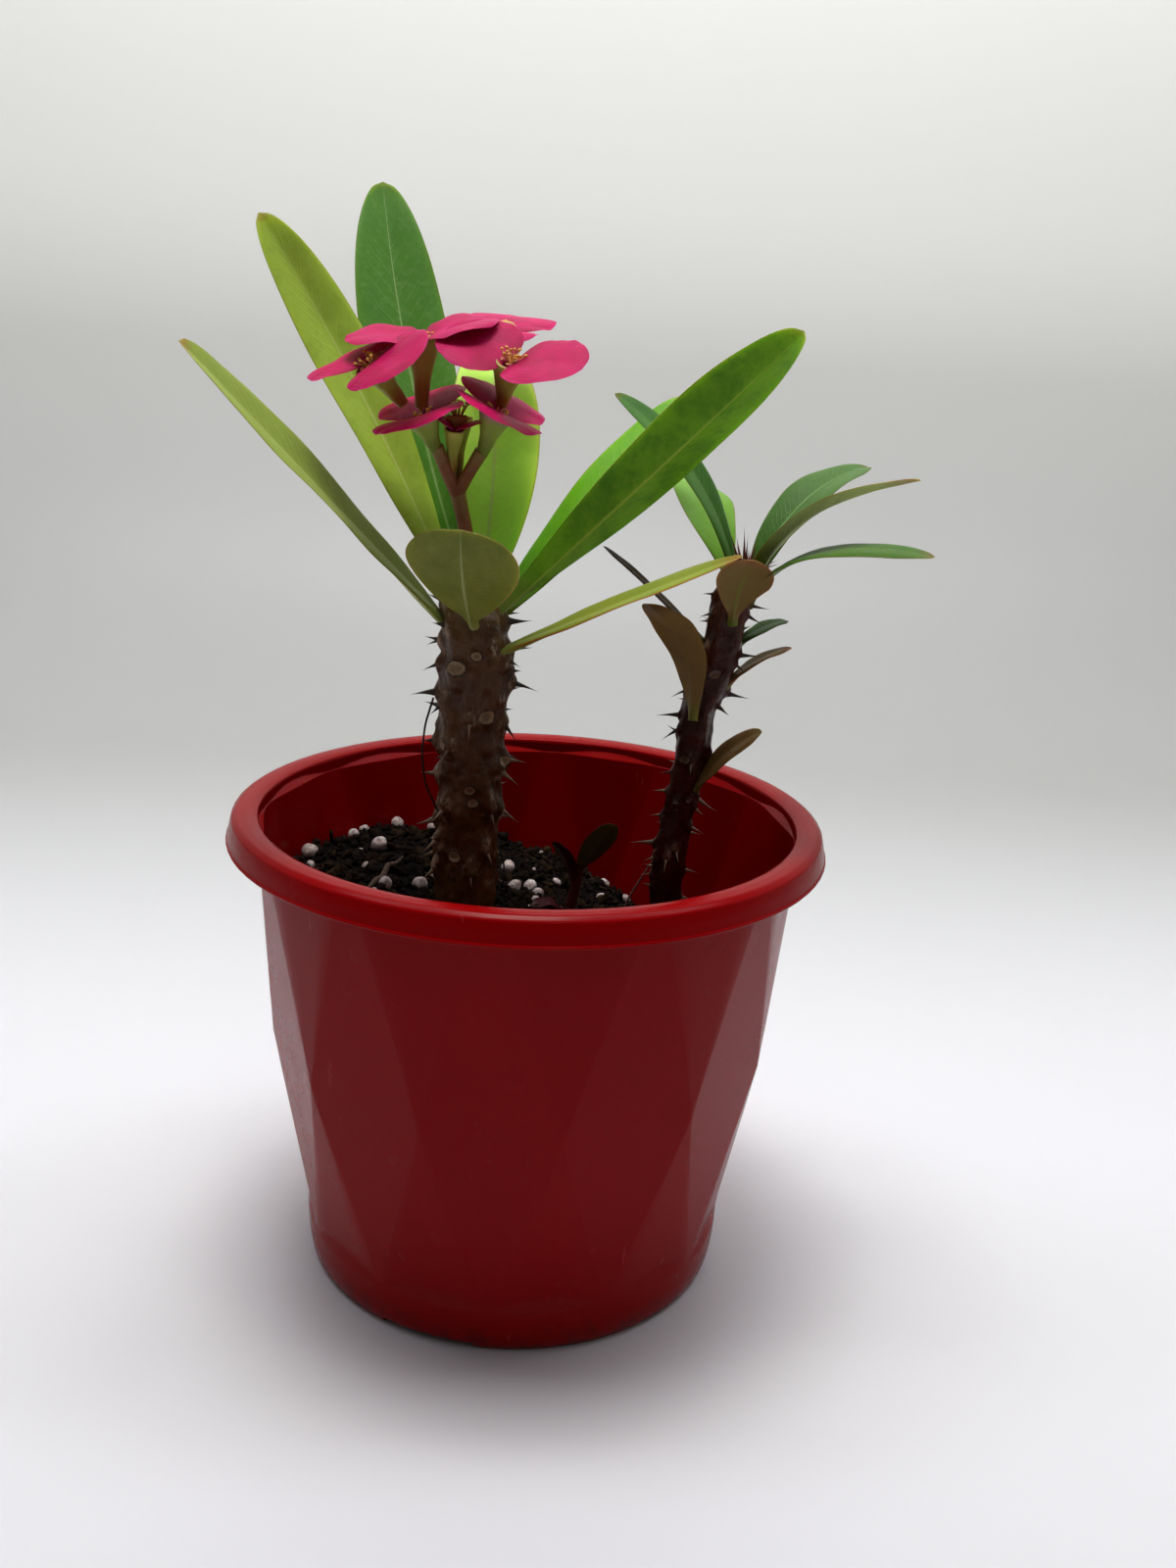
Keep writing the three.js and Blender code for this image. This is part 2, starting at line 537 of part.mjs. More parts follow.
// a piece is cut back by what it touches, so that it sits a small gap off it
function place(name, maker, colour, roughness) {
  let solid = maker(0);
  for (const earlier of placed) {
    if (boxesMeet(solid.boundingBox(), earlier.boundingBox())) solid = solid.subtract(earlier);
  }
  solid = largestPart(solid);
  placed.push(maker(seatGap));
  plant.add(meshOf(name, solid, colour, roughness));
}

place('main_stem', (grow) => makeStem(mainStem, grow), rgb.mainStem, 0.7);
place('second_stem', (grow) => makeStem(secondStem, grow), rgb.secondStem, 0.55);
place('sprout_stem', (grow) => makeStem(sproutStem, grow), rgb.sprout, 0.6);
place('soil', (grow) => makeSoil(grow), rgb.soil, 0.95);
for (const leaf of leaves) place(leaf.name, (grow) => makeBlade(leaf, grow), leaf.colour, 0.45);
place('flower_stalk', makeStalk, rgb.stalk, 0.5);
for (const flower of flowers) place(`cup_${flower.id}`, (grow) => makeCup(flower, grow), rgb.cup, 0.5);
place('cup_bud', (grow) => makeCup(bud, grow), rgb.cup, 0.5);
place('cup_old', (grow) => makeCup(oldCup, grow), rgb.cup, 0.5);
for (const flower of flowers.filter(({ id }) => withStamens.includes(id))) {
  place(`stamens_${flower.id}`, () => makeStamens(flower), rgb.stamens, 0.6);
}
place('stamens_old', () => makeStamens(oldCup), rgb.stamens, 0.6);
for (const flower of [...flowers, { id: 'bud', ...bud }]) {
  for (const side of [0, 1]) {
    const blade = bractBlade(flower, side);
    place(`bract_${flower.id}_${side + 1}`, (grow) => makeBlade(blade, grow), rgb.bract, 0.4);
  }
}
place('straw', makeStraw, rgb.straw, 0.8);
place('fallen_leaf', makeFallenLeaf, rgb.fallen, 0.6);
plant.add(meshOf('pot', makePot(), rgb.pot, 0.35));

export default plant;
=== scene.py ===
import bpy
import numpy as np
from mathutils import Matrix


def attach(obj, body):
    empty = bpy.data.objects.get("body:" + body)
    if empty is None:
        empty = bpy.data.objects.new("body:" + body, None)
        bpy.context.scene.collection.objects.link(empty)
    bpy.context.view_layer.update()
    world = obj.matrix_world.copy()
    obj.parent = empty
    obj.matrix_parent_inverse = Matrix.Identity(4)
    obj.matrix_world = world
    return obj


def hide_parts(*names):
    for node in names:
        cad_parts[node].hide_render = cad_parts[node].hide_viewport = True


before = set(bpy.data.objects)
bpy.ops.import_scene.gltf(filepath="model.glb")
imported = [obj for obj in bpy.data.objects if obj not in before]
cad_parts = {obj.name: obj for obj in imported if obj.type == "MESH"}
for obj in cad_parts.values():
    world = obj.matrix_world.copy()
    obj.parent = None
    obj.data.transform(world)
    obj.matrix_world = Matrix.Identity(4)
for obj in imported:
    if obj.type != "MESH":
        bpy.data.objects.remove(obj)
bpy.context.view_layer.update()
mm = 0.001  # the shapes below are worked out in millimetres and put into the meshes in metres
print("frame loaded:", len(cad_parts), "nodes")


# numbers and curves

def tint(code):  # "#rrggbb" as the linear colour that the shaders use
    part = np.array([int(code[k:k + 2], 16) / 255 for k in (1, 3, 5)])
    linear = np.where(part <= 0.04045, part / 12.92, ((part + 0.055) / 1.055) ** 2.4)
    return (*linear.tolist(), 1.0)


def unit(vector):
    vector = np.asarray(vector, float)
    return vector / np.linalg.norm(vector, axis=-1, keepdims=True)


def smoothStep(low, high, value):
    part = np.clip((value - low) / (high - low), 0, 1)
    return part * part * (3 - 2 * part)


def turns(count):  # azimuths evenly once round
    return np.linspace(0, 2 * np.pi, count, endpoint=False)


def polar(radius, azimuth, z):  # points at a radius and azimuth about the Z axis
    return np.stack(np.broadcast_arrays(radius * np.cos(azimuth), radius * np.sin(azimuth), z), -1)


# value noise: random numbers on a cubic lattice, blended by the smooth step of the place in a cell
def latticeNoise(points, cell, seed=0):
    place = np.asarray(points, float) / cell
    low = np.floor(place)
    part = place - low
    part = part * part * (3 - 2 * part)
    total = 0
    for corner in np.ndindex(2, 2, 2):
        value = np.sin((low + corner) @ np.array([127.1, 311.7, 74.7]) + seed * 53.7) * 43758.5453
        value = value - np.floor(value)
        total = total + value * np.prod(np.where(corner, part, 1 - part), -1)
    return 2 * total - 1


# rows of numbers given at knots, followed as straight lines and then softened by a moving average
def softRows(at, knots, rows, soften=0.03):
    dense = np.linspace(0, 1, 501)
    rows = np.asarray(rows, float)
    straight = np.stack([np.interp(dense, knots, column) for column in rows.T], -1)
    reach = max(1, int(soften * 500))
    padded = np.concatenate([straight[:1] + (straight[:1] - straight[reach:0:-1]), straight,
                             straight[-1:] + (straight[-1:] - straight[-2:-reach - 2:-1])])
    window = np.hanning(2 * reach + 3)[1:-1]
    window = window / window.sum()
    soft = [np.convolve(column, window, "valid") for column in padded.T]
    return np.stack([np.interp(at, dense, column) for column in soft], -1)


# meshes

# a grid of points[i, j] whose j runs round and closes; each end is closed by a fan to its middle
def tube(points, **attributes):
    rings, sides = points.shape[:2]
    i, j = np.meshgrid(np.arange(rings - 1), np.arange(sides), indexing="ij")
    nextJ = (j + 1) % sides
    quads = np.stack([i * sides + j, i * sides + nextJ, (i + 1) * sides + nextJ, (i + 1) * sides + j], -1)
    around = np.arange(sides)
    following = (around + 1) % sides
    lastRing = (rings - 1) * sides
    startFan = np.stack([np.full(sides, rings * sides), following, around], -1)
    endFan = np.stack([np.full(sides, rings * sides + 1), lastRing + around, lastRing + following], -1)
    flat = np.concatenate([points.reshape(-1, 3), points[0].mean(0)[None], points[-1].mean(0)[None]])
    kept = {}
    for name, value in attributes.items():
        value = np.broadcast_to(value, (rings, sides))
        kept[name] = np.concatenate([value.ravel(), [value[0].mean()], [value[-1].mean()]])
    return {"points": flat, "quads": quads.reshape(-1, 4), "tris": np.concatenate([startFan, endFan]),
            "attributes": kept}


def triangleShape(points, tris, **attributes):
    return {"points": points, "quads": np.zeros((0, 4), int), "tris": tris, "attributes": attributes}


def joined(surfaces):
    starts = np.cumsum([0] + [len(s["points"]) for s in surfaces])[:-1]
    names = surfaces[0]["attributes"]
    return {"points": np.concatenate([s["points"] for s in surfaces]),
            "quads": np.concatenate([s["quads"] + start for s, start in zip(surfaces, starts)]),
            "tris": np.concatenate([s["tris"] + start for s, start in zip(surfaces, starts)]),
            "attributes": {n: np.concatenate([s["attributes"][n] for s in surfaces]) for n in names}}


def facesOut(shape):  # turns every face round if they enclose a negative volume
    points, quads, tris = shape["points"], shape["quads"], shape["tris"]
    fan = np.concatenate([quads[:, [0, 1, 2]], quads[:, [0, 2, 3]], tris])
    a, b, c = (points[fan[:, k]] for k in range(3))
    if np.einsum("ij,ij->i", a, np.cross(b, c)).sum() < 0:
        shape["quads"], shape["tris"] = quads[:, ::-1], tris[:, ::-1]
    return shape


def newObject(name, data):
    made = bpy.data.objects.new(name, data)
    bpy.context.scene.collection.objects.link(made)
    return made


def makePiece(name, shape, material, replaces=()):
    shape = facesOut(shape)
    points, quads, tris = shape["points"], shape["quads"], shape["tris"]
    mesh = bpy.data.meshes.new(name)
    mesh.vertices.add(len(points))
    mesh.vertices.foreach_set("co", (points * mm).astype(np.float32).ravel())
    mesh.loops.add(quads.size + tris.size)
    mesh.loops.foreach_set("vertex_index", np.concatenate([quads.ravel(), tris.ravel()]).astype(np.int32))
    starts = np.concatenate([np.arange(len(quads)) * 4, quads.size + np.arange(len(tris)) * 3])
    mesh.polygons.add(len(quads) + len(tris))
    mesh.polygons.foreach_set("loop_start", starts.astype(np.int32))
    mesh.polygons.foreach_set("use_smooth", np.ones(len(starts), bool))
    mesh.update(calc_edges=True)
    for key, value in shape["attributes"].items():
        layer = mesh.attributes.new(key, "FLOAT", "POINT")
        layer.data.foreach_set("value", np.asarray(value, np.float32))
    mesh.materials.append(material)
    piece = newObject(name, mesh)
    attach(piece, "root")
    if replaces:
        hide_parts(*replaces)
    return piece


# materials

class NodeTree:
    def __init__(self, tree):
        self.tree = tree

    def node(self, kind, inputs=None, **settings):  # an input is a socket, a number or a "#rrggbb" colour
        made = self.tree.nodes.new("ShaderNode" + kind)
        for key, value in settings.items():
            setattr(made, key, value)
        for key, value in (inputs or {}).items():
            if isinstance(value, bpy.types.NodeSocket):
                self.tree.links.new(value, made.inputs[key])
            else:
                made.inputs[key].default_value = tint(value) if isinstance(value, str) else value
        return made

    def math(self, operation, a, b=0.0):
        return self.node("Math", {0: a, 1: b}, operation=operation).outputs[0]

    def plus(self, a, b):
        return self.math("ADD", a, b)

    def minus(self, a, b):
        return self.math("SUBTRACT", a, b)

    def times(self, a, b):
        return self.math("MULTIPLY", a, b)

    def step(self, value, low, high, floor=0.0, ceiling=1.0):  # a smooth rise from floor to ceiling
        inputs = {0: value, 1: low, 2: high, 3: floor, 4: ceiling}
        return self.node("MapRange", inputs, interpolation_type="SMOOTHSTEP").outputs[0]

    def mix(self, share, a, b):  # colour a where share is 0, b where it is 1
        return self.node("Mix", {0: share, 6: a, 7: b}, data_type="RGBA", clamp_factor=True).outputs[2]


class Finish(NodeTree):  # a material; its colour is laid on coat by coat, and finished() returns it
    def __init__(self, name, **settings):
        self.material = bpy.data.materials.new(name)
        self.material.use_nodes = True
        super().__init__(self.material.node_tree)
        self.shader = self.tree.nodes["Principled BSDF"]
        for key, value in settings.items():
            self.shader.inputs[key.replace("_", " ")].default_value = value
        self.where = self.node("TexCoord").outputs["Object"]

    def clouds(self, size, detail=3.0, roughness=0.55, stretch=None):  # noise with patches of a size in mm
        where = self.where
        if stretch:
            where = self.node("Mapping", {"Vector": where, "Scale": stretch}).outputs[0]
        inputs = {"Vector": where, "Scale": 1 / (size * mm), "Detail": detail, "Roughness": roughness}
        return self.node("TexNoise", inputs).outputs[0]

    def cells(self, size):  # the distance from the nearest cell's middle, and that cell's random numbers
        made = self.node("TexVoronoi", {"Vector": self.where, "Scale": 1 / (size * mm)}).outputs
        return made["Distance"], self.node("SeparateColor", {0: made["Color"]}).outputs

    def attribute(self, name):
        return self.node("Attribute", attribute_name=name).outputs["Fac"]

    def place(self, axis):  # how far along X, Y or Z, in metres
        return self.node("SeparateXYZ", {0: self.where}).outputs["XYZ".index(axis)]

    def bump(self, height, depth, under=None):  # depth in mm
        inputs = {"Height": height, "Strength": 1.0, "Distance": depth * mm}
        if under is not None:
            inputs["Normal"] = under
        return self.node("Bump", inputs).outputs[0]

    def base(self, share, a, b):
        self.shade = self.mix(share, a, b)

    def coat(self, share, colour):  # a colour over what is there
        self.shade = self.mix(share, self.shade, colour)

    def finished(self, **sockets):
        for key, value in {"Base Color": self.shade, **sockets}.items():
            self.tree.links.new(value, self.shader.inputs[key])
        return self.material


# camera, light and floor

view = {"place": (0.0, -0.3455, 0.2252), "pan": 0.039, "tilt": 0.296, "roll": 0.054, "lens": 35.34}


def standing(right, top, back, place):  # the matrix of an object with those axes at that place
    return Matrix([[right[k], top[k], back[k], place[k]] for k in range(3)] + [[0, 0, 0, 1]])


def makeCamera():
    pan, tilt, roll = view["pan"], view["tilt"], view["roll"]
    ahead = np.array([np.sin(pan) * np.cos(tilt), np.cos(pan) * np.cos(tilt), -np.sin(tilt)])
    level = np.array([np.cos(pan), -np.sin(pan), 0.0])
    above = np.cross(level, ahead)
    right = np.cos(roll) * level + np.sin(roll) * above
    top = -np.sin(roll) * level + np.cos(roll) * above
    data = bpy.data.cameras.new("camera")
    data.lens = view["lens"]
    data.sensor_width = 36
    data.clip_start = 0.01
    camera = newObject("camera", data)
    camera.matrix_world = standing(right, top, -ahead, view["place"])
    bpy.context.scene.camera = camera


studio = {
    # the world's colour and strength behind and above, and at the camera's side
    "behind": ("#dfe3e8", 0.33), "before": ("#8c8078", 0.36),
    "lamps": {  # place, what it points at, size, watts, colour, all in metres
        "overhead": ((-0.05, -0.02, 1.6), (0, 0, 0.1), (0.5, 0.45), 13.5, "#fffdf8"),
        "wallWash": ((0.05, 0.1, 1.0), (0.05, 0.62, 0.45), (1.4, 0.3), 8.2, "#f6f9ff"),
        "leftCard": ((-1.0, 0.2, 0.5), (0, 0, 0.12), (0.7, 0.8), 0.4, "#f4f7ff"),
        "rightCard": ((1.0, 0.2, 0.5), (0, 0, 0.12), (0.7, 0.8), 0.6, "#fffaf2"),
        "frontSpot": ((0.25, -0.9, 1.15), (0, 0, 0.12), (0.3, 0.3), 0.5, "#ffffff"),
    },
    # the floor bends up into a wall: their colours, the bend's colour being painted shade that darkens the
    # floor towards the back and in the bend, and the bend's radius and the sheet's limits in mm
    "floor": "#d9d9dd", "bend": "#aaaaa8", "wall": "#e2e2de",
    "bendRadius": 200, "wallY": 620, "wallZ": 1500, "frontY": -1500, "halfWidth": 1600,
}


def makeStudio():
    scene = bpy.context.scene
    scene.view_settings.view_transform = "Standard"
    scene.view_settings.gamma = 0.9
    world = bpy.data.worlds.new("studio")
    world.use_nodes = True
    sky = NodeTree(world.node_tree)
    way = sky.node("TexCoord").outputs["Generated"]
    toBack = sky.node("VectorMath", {0: way, 1: (0.0, 0.62, 0.78)}, operation="DOT_PRODUCT")
    share = sky.step(toBack.outputs["Value"], -0.35, 0.75)
    (back, backStrength), (near, nearStrength) = studio["behind"], studio["before"]
    background = sky.tree.nodes["Background"].inputs
    sky.tree.links.new(sky.mix(share, near, back), background["Color"])
    sky.tree.links.new(sky.step(share, 0.0, 1.0, nearStrength, backStrength), background["Strength"])
    scene.world = world
    for name, (place, target, size, watts, colour) in studio["lamps"].items():
        data = bpy.data.lights.new(name, "AREA")
        data.shape = "RECTANGLE"
        data.size, data.size_y = size
        data.energy = watts
        data.color = tint(colour)[:3]
        back = unit(np.array(place) - np.array(target))
        side = unit(np.cross([0, 1, 0] if abs(back[2]) > 0.9 else [0, 0, 1], back))
        newObject(name, data).matrix_world = standing(side, np.cross(back, side), back, place)


# a floor that bends up into a wall behind: straight, a quarter circle, straight, carried along X
def makeFloor():
    bend, half, wallY = studio["bendRadius"], studio["halfWidth"], studio["wallY"]
    turn = np.linspace(0, np.pi / 2, 25)
    y = np.concatenate([[studio["frontY"]], wallY - bend + bend * np.sin(turn), [wallY]])
    z = np.concatenate([[0], bend - bend * np.cos(turn), [studio["wallZ"]]])
    points = np.stack(np.broadcast_arrays([-half, half], y[:, None], z[:, None]), -1)
    mesh = bpy.data.meshes.new("floor")
    faces = [(2 * k, 2 * k + 1, 2 * k + 3, 2 * k + 2) for k in range(len(y) - 1)]
    mesh.from_pydata((points.reshape(-1, 3) * mm).tolist(), [], faces)
    mesh.shade_smooth()
    paint = Finish("floorPaint", Roughness=0.5)
    # painted shade: the floor's colour darkens from y 0.02 to 0.45 m into the darker bend colour, and the
    # wall above is lighter again
    paint.base(paint.step(paint.place("Y"), 0.02, 0.45), studio["floor"], studio["bend"])
    paint.coat(paint.step(paint.place("Z"), 0.05, 0.3), studio["wall"])
    paint.coat(paint.clouds(260.0), paint.mix(0.06, paint.shade, "#ffffff"))
    mesh.materials.append(paint.finished())
    newObject("floor", mesh)


makeCamera()
makeStudio()
makeFloor()
print("camera, light and floor made")


# the pot

pot = {
    "wall": 1.45, "count": 12, "turn": -5.0,
    # the net's rings: radius, z. The top one is above the rim, so the facets are cut off before they meet
    "top": (65.4, 117.0), "middle": (59.6, 58.5), "bottom": (51.8, 12.0),
    # profiles of radius, z: the round foot, and the band from its foot out, over the lip and in to the bore
    "foot": [(48.4, 0), (49.6, 0.6), (50.5, 2.2), (51.1, 6), (51.4, 11), (50.9, 13), (50.0, 15.5),
             (48.0, 18)],
    "band": [(64.4, 104.8), (64.7, 110.2), (66.0, 111.7), (67.3, 111.4), (68.0, 109.4), (68.4, 106.9),
             (69.8, 106.85), (69.95, 107.3), (69.6, 107.7), (69.15, 110.2), (68.65, 112.3), (67.4, 113.2),
             (65.4, 113.35), (63.8, 113.1), (63.0, 112.75)],
    # inside, the net ends at this z; flat facets splay out from it and meet the round bore in arcs
    "ledge": 109.4, "splay": 0.87, "bore": 62.7, "boreTop": 112.6,
    # drain slots under the foot: their azimuths, width in degrees, from radius to radius, and height
    "slots": (-112, 8, 128), "slotWidth": 26, "slotInner": 40, "slotOuter": 60, "slotHeight": 2.0,
    # the mesh's rows: radii under the foot, then first z, last z and how many up the wall, z below the
    # ledge, the same down the wall inside, and radius and z over the floor
    "underRows": (4, 18, 32, 41, 46, 47.7),
    "outerRows": ((6.5, 17.5, 20), (18.5, 58.5, 20), (60.5, 104.5, 22)),
    "lipRows": (109.3, 109.0, 108.0, 106.5, 104.5),
    "innerRows": ((102, 60.5, 20), (58.5, 6.0, 10)),
    "floorRows": ((48.9, 4.4), (48.4, 2.6), (47.8, 1.8), (46.5, 1.6), (30, 1.6), (4, 1.6)),
    "red": ("#880004", "#940107"), "scuff": "#cf5a5c", "paleSpeck": "#e8b4ac", "darkSpeck": "#2a1210",
    "footDarkening": "#4a1614",
}


# the radius of the net of flat facets at azimuth and z: the nearest of its planes along that ray
def netRadius(azimuth, z, inset=0.0):
    k = np.arange(pot["count"])

    def ring(key, turn):
        radius, height = pot[key]
        azimuths = np.radians(pot["turn"]) + (k + turn) * 2 * np.pi / pot["count"]
        return polar(radius - inset, azimuths, height)

    top, nextTop = ring("top", 0), ring("top", 1)
    low, nextLow = ring("bottom", 0), ring("bottom", 1)
    left, right = ring("middle", -0.5), ring("middle", 0.5)
    corners = [(top, nextTop, right), (low, nextLow, right), (left, right, top), (left, right, low)]
    a, b, c = (np.concatenate([face[n] for face in corners]) for n in range(3))
    normal = unit(np.cross(b - a, c - a))
    normal = normal * np.sign(normal[:, :1] * a[:, :1] + normal[:, 1:2] * a[:, 1:2])
    reach = (normal * a).sum(-1)
    azimuth, z = (value[..., None] for value in np.broadcast_arrays(azimuth, z))
    facing = np.cos(azimuth) * normal[:, 0] + np.sin(azimuth) * normal[:, 1]
    far = (reach - z * normal[:, 2]) / np.maximum(facing, 1e-3)
    return np.where(facing > 0.2, far, 1e6).min(-1)


# azimuths of the mesh's columns at z: they follow the creases, with one close on each side
def creaseColumns(z):
    step = np.pi / pot["count"]
    (topR, topZ), (midR, midZ), (lowR, lowZ) = pot["top"], pot["middle"], pot["bottom"]
    z = np.clip(np.asarray(z, float), lowZ, topZ)
    down = np.where(z > midZ, (topZ - z) / (topZ - midZ), (z - lowZ) / (midZ - lowZ))
    endR = np.where(z > midZ, topR, lowR)
    turned = np.arctan2(down * midR * np.sin(step), (1 - down) * endR + down * midR * np.cos(step))
    near = 0.028  # how close the columns beside a crease are, as a share of half a facet
    crease = np.clip(turned / step, 3 * near, 1 - 3 * near)[..., None]
    before = np.array([0, 0.34, 0.67]) * (crease - near)
    after = crease + near + np.array([0.33, 0.66, 1.0]) * (1 - crease - near)
    part = np.concatenate([before, crease - near, crease, crease + near, after], -1)
    sectors = []
    for half in range(2 * pot["count"]):
        own = part if half % 2 == 0 else 1 - part[..., ::-1]
        sectors.append(np.radians(pot["turn"]) + (half + own[..., :-1]) * step)
    return np.concatenate(sectors, -1)


# a polyline whose corners are rounded: each is a quadratic curve between points a short way off it.
# A point just before and just after the curve keeps the straight parts flat under smooth shading
def roundedLine(points, size, steps=4):
    points = np.asarray(points, float)
    rows = [points[:1]]
    for before, corner, after in zip(points[:-2], points[1:-1], points[2:]):
        a, b = before - corner, after - corner
        off = min(size, 0.33 * np.linalg.norm(a), 0.33 * np.linalg.norm(b))
        towardA, towardB = off * unit(a), off * unit(b)
        t = np.linspace(0, 1, steps)[:, None]
        curve = (1 - t) ** 2 * (corner + towardA) + 2 * t * (1 - t) * corner + t * t * (corner + towardB)
        rows.append(np.concatenate([[corner + 1.35 * towardA], curve, [corner + 1.35 * towardB]]))
    return np.concatenate(rows + [points[-1:]])


# the shell as one closed sheet: from under the foot, up the facets, over the band and down inside
def potSurface():
    footR, footZ = np.array(pot["foot"]).T
    ledge, bore = pot["ledge"], pot["bore"]
    rows = []

    def level(radius, z):  # a row at z; its radius is a number, or a function of azimuth and z
        columns = creaseColumns(z)
        rows.append(polar(radius(columns, z) if callable(radius) else radius, columns, z))

    def outside(azimuth, z):
        return np.maximum(netRadius(azimuth, z), np.interp(z, footZ, footR))

    def inside(azimuth, z):
        return np.minimum(netRadius(azimuth, z, pot["wall"]), bore - 0.04)

    for radius in pot["underRows"]:
        level(radius, 0.0)
    for z in np.interp(np.linspace(0, 1, 7), np.linspace(0, 1, 4), footZ[:4]):
        level(np.interp(z, footZ, footR), z)
    for z in (*np.concatenate([np.linspace(*span) for span in pot["outerRows"]]), pot["band"][0][1]):
        level(outside, z)
    for radius, z in roundedLine(pot["band"], 0.4):
        level(radius, z)
    # the bore down to the arcs where the splayed facets meet it, then down those facets to the ledge
    columns = creaseColumns(ledge)
    edge = inside(columns, ledge)
    middle = edge.min()
    arc = ledge + (bore / edge - 1) * middle / pot["splay"]
    for share in (1, 0.7, 0.4, 0.15, 0.05):
        rows.append(polar(bore, columns, arc + share * (pot["boreTop"] - arc)))
    for share in (0.98, 0.9, 0.6, 0.3, 0.1, 0.02):
        z = ledge + share * (arc - ledge)
        rows.append(polar(edge * (1 + (z - ledge) * pot["splay"] / middle), columns, z))
    for z in np.concatenate([pot["lipRows"], *(np.linspace(*span) for span in pot["innerRows"])]):
        level(inside, z)
    for radius, z in pot["floorRows"]:
        level(radius, z)
    return tube(np.stack(rows))


def slotCutter(azimuth):  # a block bounded by two arcs and two radii
    half = np.radians(pot["slotWidth"] / 2)
    turn = np.radians(azimuth) + np.linspace(-half, half, 13)
    around = np.concatenate([turn, turn[::-1]])
    out = np.repeat([pot["slotInner"], pot["slotOuter"]], len(turn))
    return tube(np.stack([polar(out, around, z) for z in (-3.0, pot["slotHeight"])]))


def potFinish():
    red = Finish("redPlastic", IOR=1.5, Specular_IOR_Level=0.1)
    red.base(red.clouds(45.0, 2.0), *pot["red"])
    # scuffs: rare stretched streaks, paler and rougher
    streak = red.step(red.clouds(9.0, 5.0, 0.62, (2.4, 2.4, 0.35)), 0.66, 0.72)
    scuff = red.times(streak, red.step(red.clouds(28.0, 2.0), 0.52, 0.66))
    red.coat(red.times(scuff, 0.35), pot["scuff"])
    # specks: pale and dark dots where the cells' middles are near
    near, kind = red.cells(13.0)
    paleDot = red.times(red.step(near, 0.026, 0.016), red.step(kind[0], 0.86, 0.88))
    darkDot = red.times(red.step(near, 0.036, 0.026), red.step(kind[1], 0.84, 0.86))
    red.coat(red.times(paleDot, 0.75), pot["paleSpeck"])
    red.coat(red.times(darkDot, 0.8), pot["darkSpeck"])
    # darker red patches low on the foot
    low = red.step(red.place("Z"), 0.009, 0.0)
    footDarkening = red.times(low, red.step(red.clouds(4.0, 5.0, 0.7), 0.45, 0.62))
    red.coat(red.times(footDarkening, 0.7), pot["footDarkening"])
    gloss = red.step(red.clouds(9.0, 2.0, 0.5), 0.2, 0.8, 0.22, 0.28)
    gloss = red.plus(gloss, red.times(scuff, 0.25))
    return red.finished(Roughness=gloss, Normal=red.bump(red.clouds(18.0, 1.0), 0.04))


def makePot():
    piece = makePiece("pot_shell", potSurface(), potFinish(), ["pot"])
    for azimuth in pot["slots"]:
        shape = facesOut(slotCutter(azimuth))
        mesh = bpy.data.meshes.new("slotCutter")
        faces = [*shape["quads"].tolist(), *shape["tris"].tolist()]
        mesh.from_pydata((shape["points"] * mm).tolist(), [], faces)
        cutter = newObject("slotCutter", mesh)
        cut = piece.modifiers.new("slot", "BOOLEAN")
        cut.operation, cut.solver, cut.object = "DIFFERENCE", "EXACT", cutter
        bpy.context.view_layer.update()
        graph = bpy.context.evaluated_depsgraph_get()
        result = bpy.data.meshes.new_from_object(piece.evaluated_get(graph))
        piece.modifiers.clear()
        piece.data = result
        bpy.data.objects.remove(cutter)
    print("pot made:", len(piece.data.polygons), "faces")


makePot()


# the soil

# its level on the axis, its slope and crown along X, and how lumpy it is; its gap to the wall, how far its
# edge drops, its bottom's z and the widest that it is there; how many crumbs, chips and scattered beads,
# their least and greatest sizes (for crumbs the least, and what is added), and their dark and light colours
soil = {"height": 84, "slope": -0.3, "crown": -0.0025, "lump": 1.3, "rough": 1.5,
        "gap": 0.35, "edgeDrop": 2.2, "bottom": 2.05, "bottomRadius": 49.0,
        "crumbs": 5200, "chips": 420, "beads": 60, "seed": 11,
        "crumbSize": (0.28, 1.05), "chipSize": (1.0, 3.2), "beadSize": (0.5, 1.5),
        "mixLook": ("#060403", "#1c1512"), "crumbLook": ("#0b0605", "#352822"),
        "chipLook": ("#0f0906", "#44321f"), "beadLook": ("#84706a", "#cfc2bf")}

# pale beads that show in front: x, y, size
shownBeads = [(-57, 18, 2.3), (-38, 28, 2.5), (-26, 8, 2.0), (-46, 36, 1.6), (-5, 35, 1.7), (1, 26, 2.0),
              (-38, 49, 1.8), (-27, 53, 1.5), (-3, 22, 1.9), (3, 20, 1.6), (-34, 2, 1.9), (21, 46, 1.6),
              (27, 44, 1.4), (-20, 1, 1.4), (5, 6, 1.8), (30, 22, 1.2), (-48, 44, 1.3), (8, 33, 1.2)]


def soilLevel(x, y):
    across = np.sin(x * 0.31 + 1.3 * np.sin(y * 0.19))
    deep = np.sin(y * 0.37 + 1.7 * np.sin(x * 0.23))
    plain = soil["height"] + soil["slope"] * x + soil["crown"] * x * x + soil["lump"] * (across + deep) / 2
    place = np.stack([x, y, np.zeros_like(x)], -1)
    rough = latticeNoise(place, 7.0, 3) + 0.6 * latticeNoise(place, 3.1, 4)
    rough = rough + 0.35 * latticeNoise(place, 1.4, 5)
    return plain + soil["rough"] * rough * 0.6 - 0.6


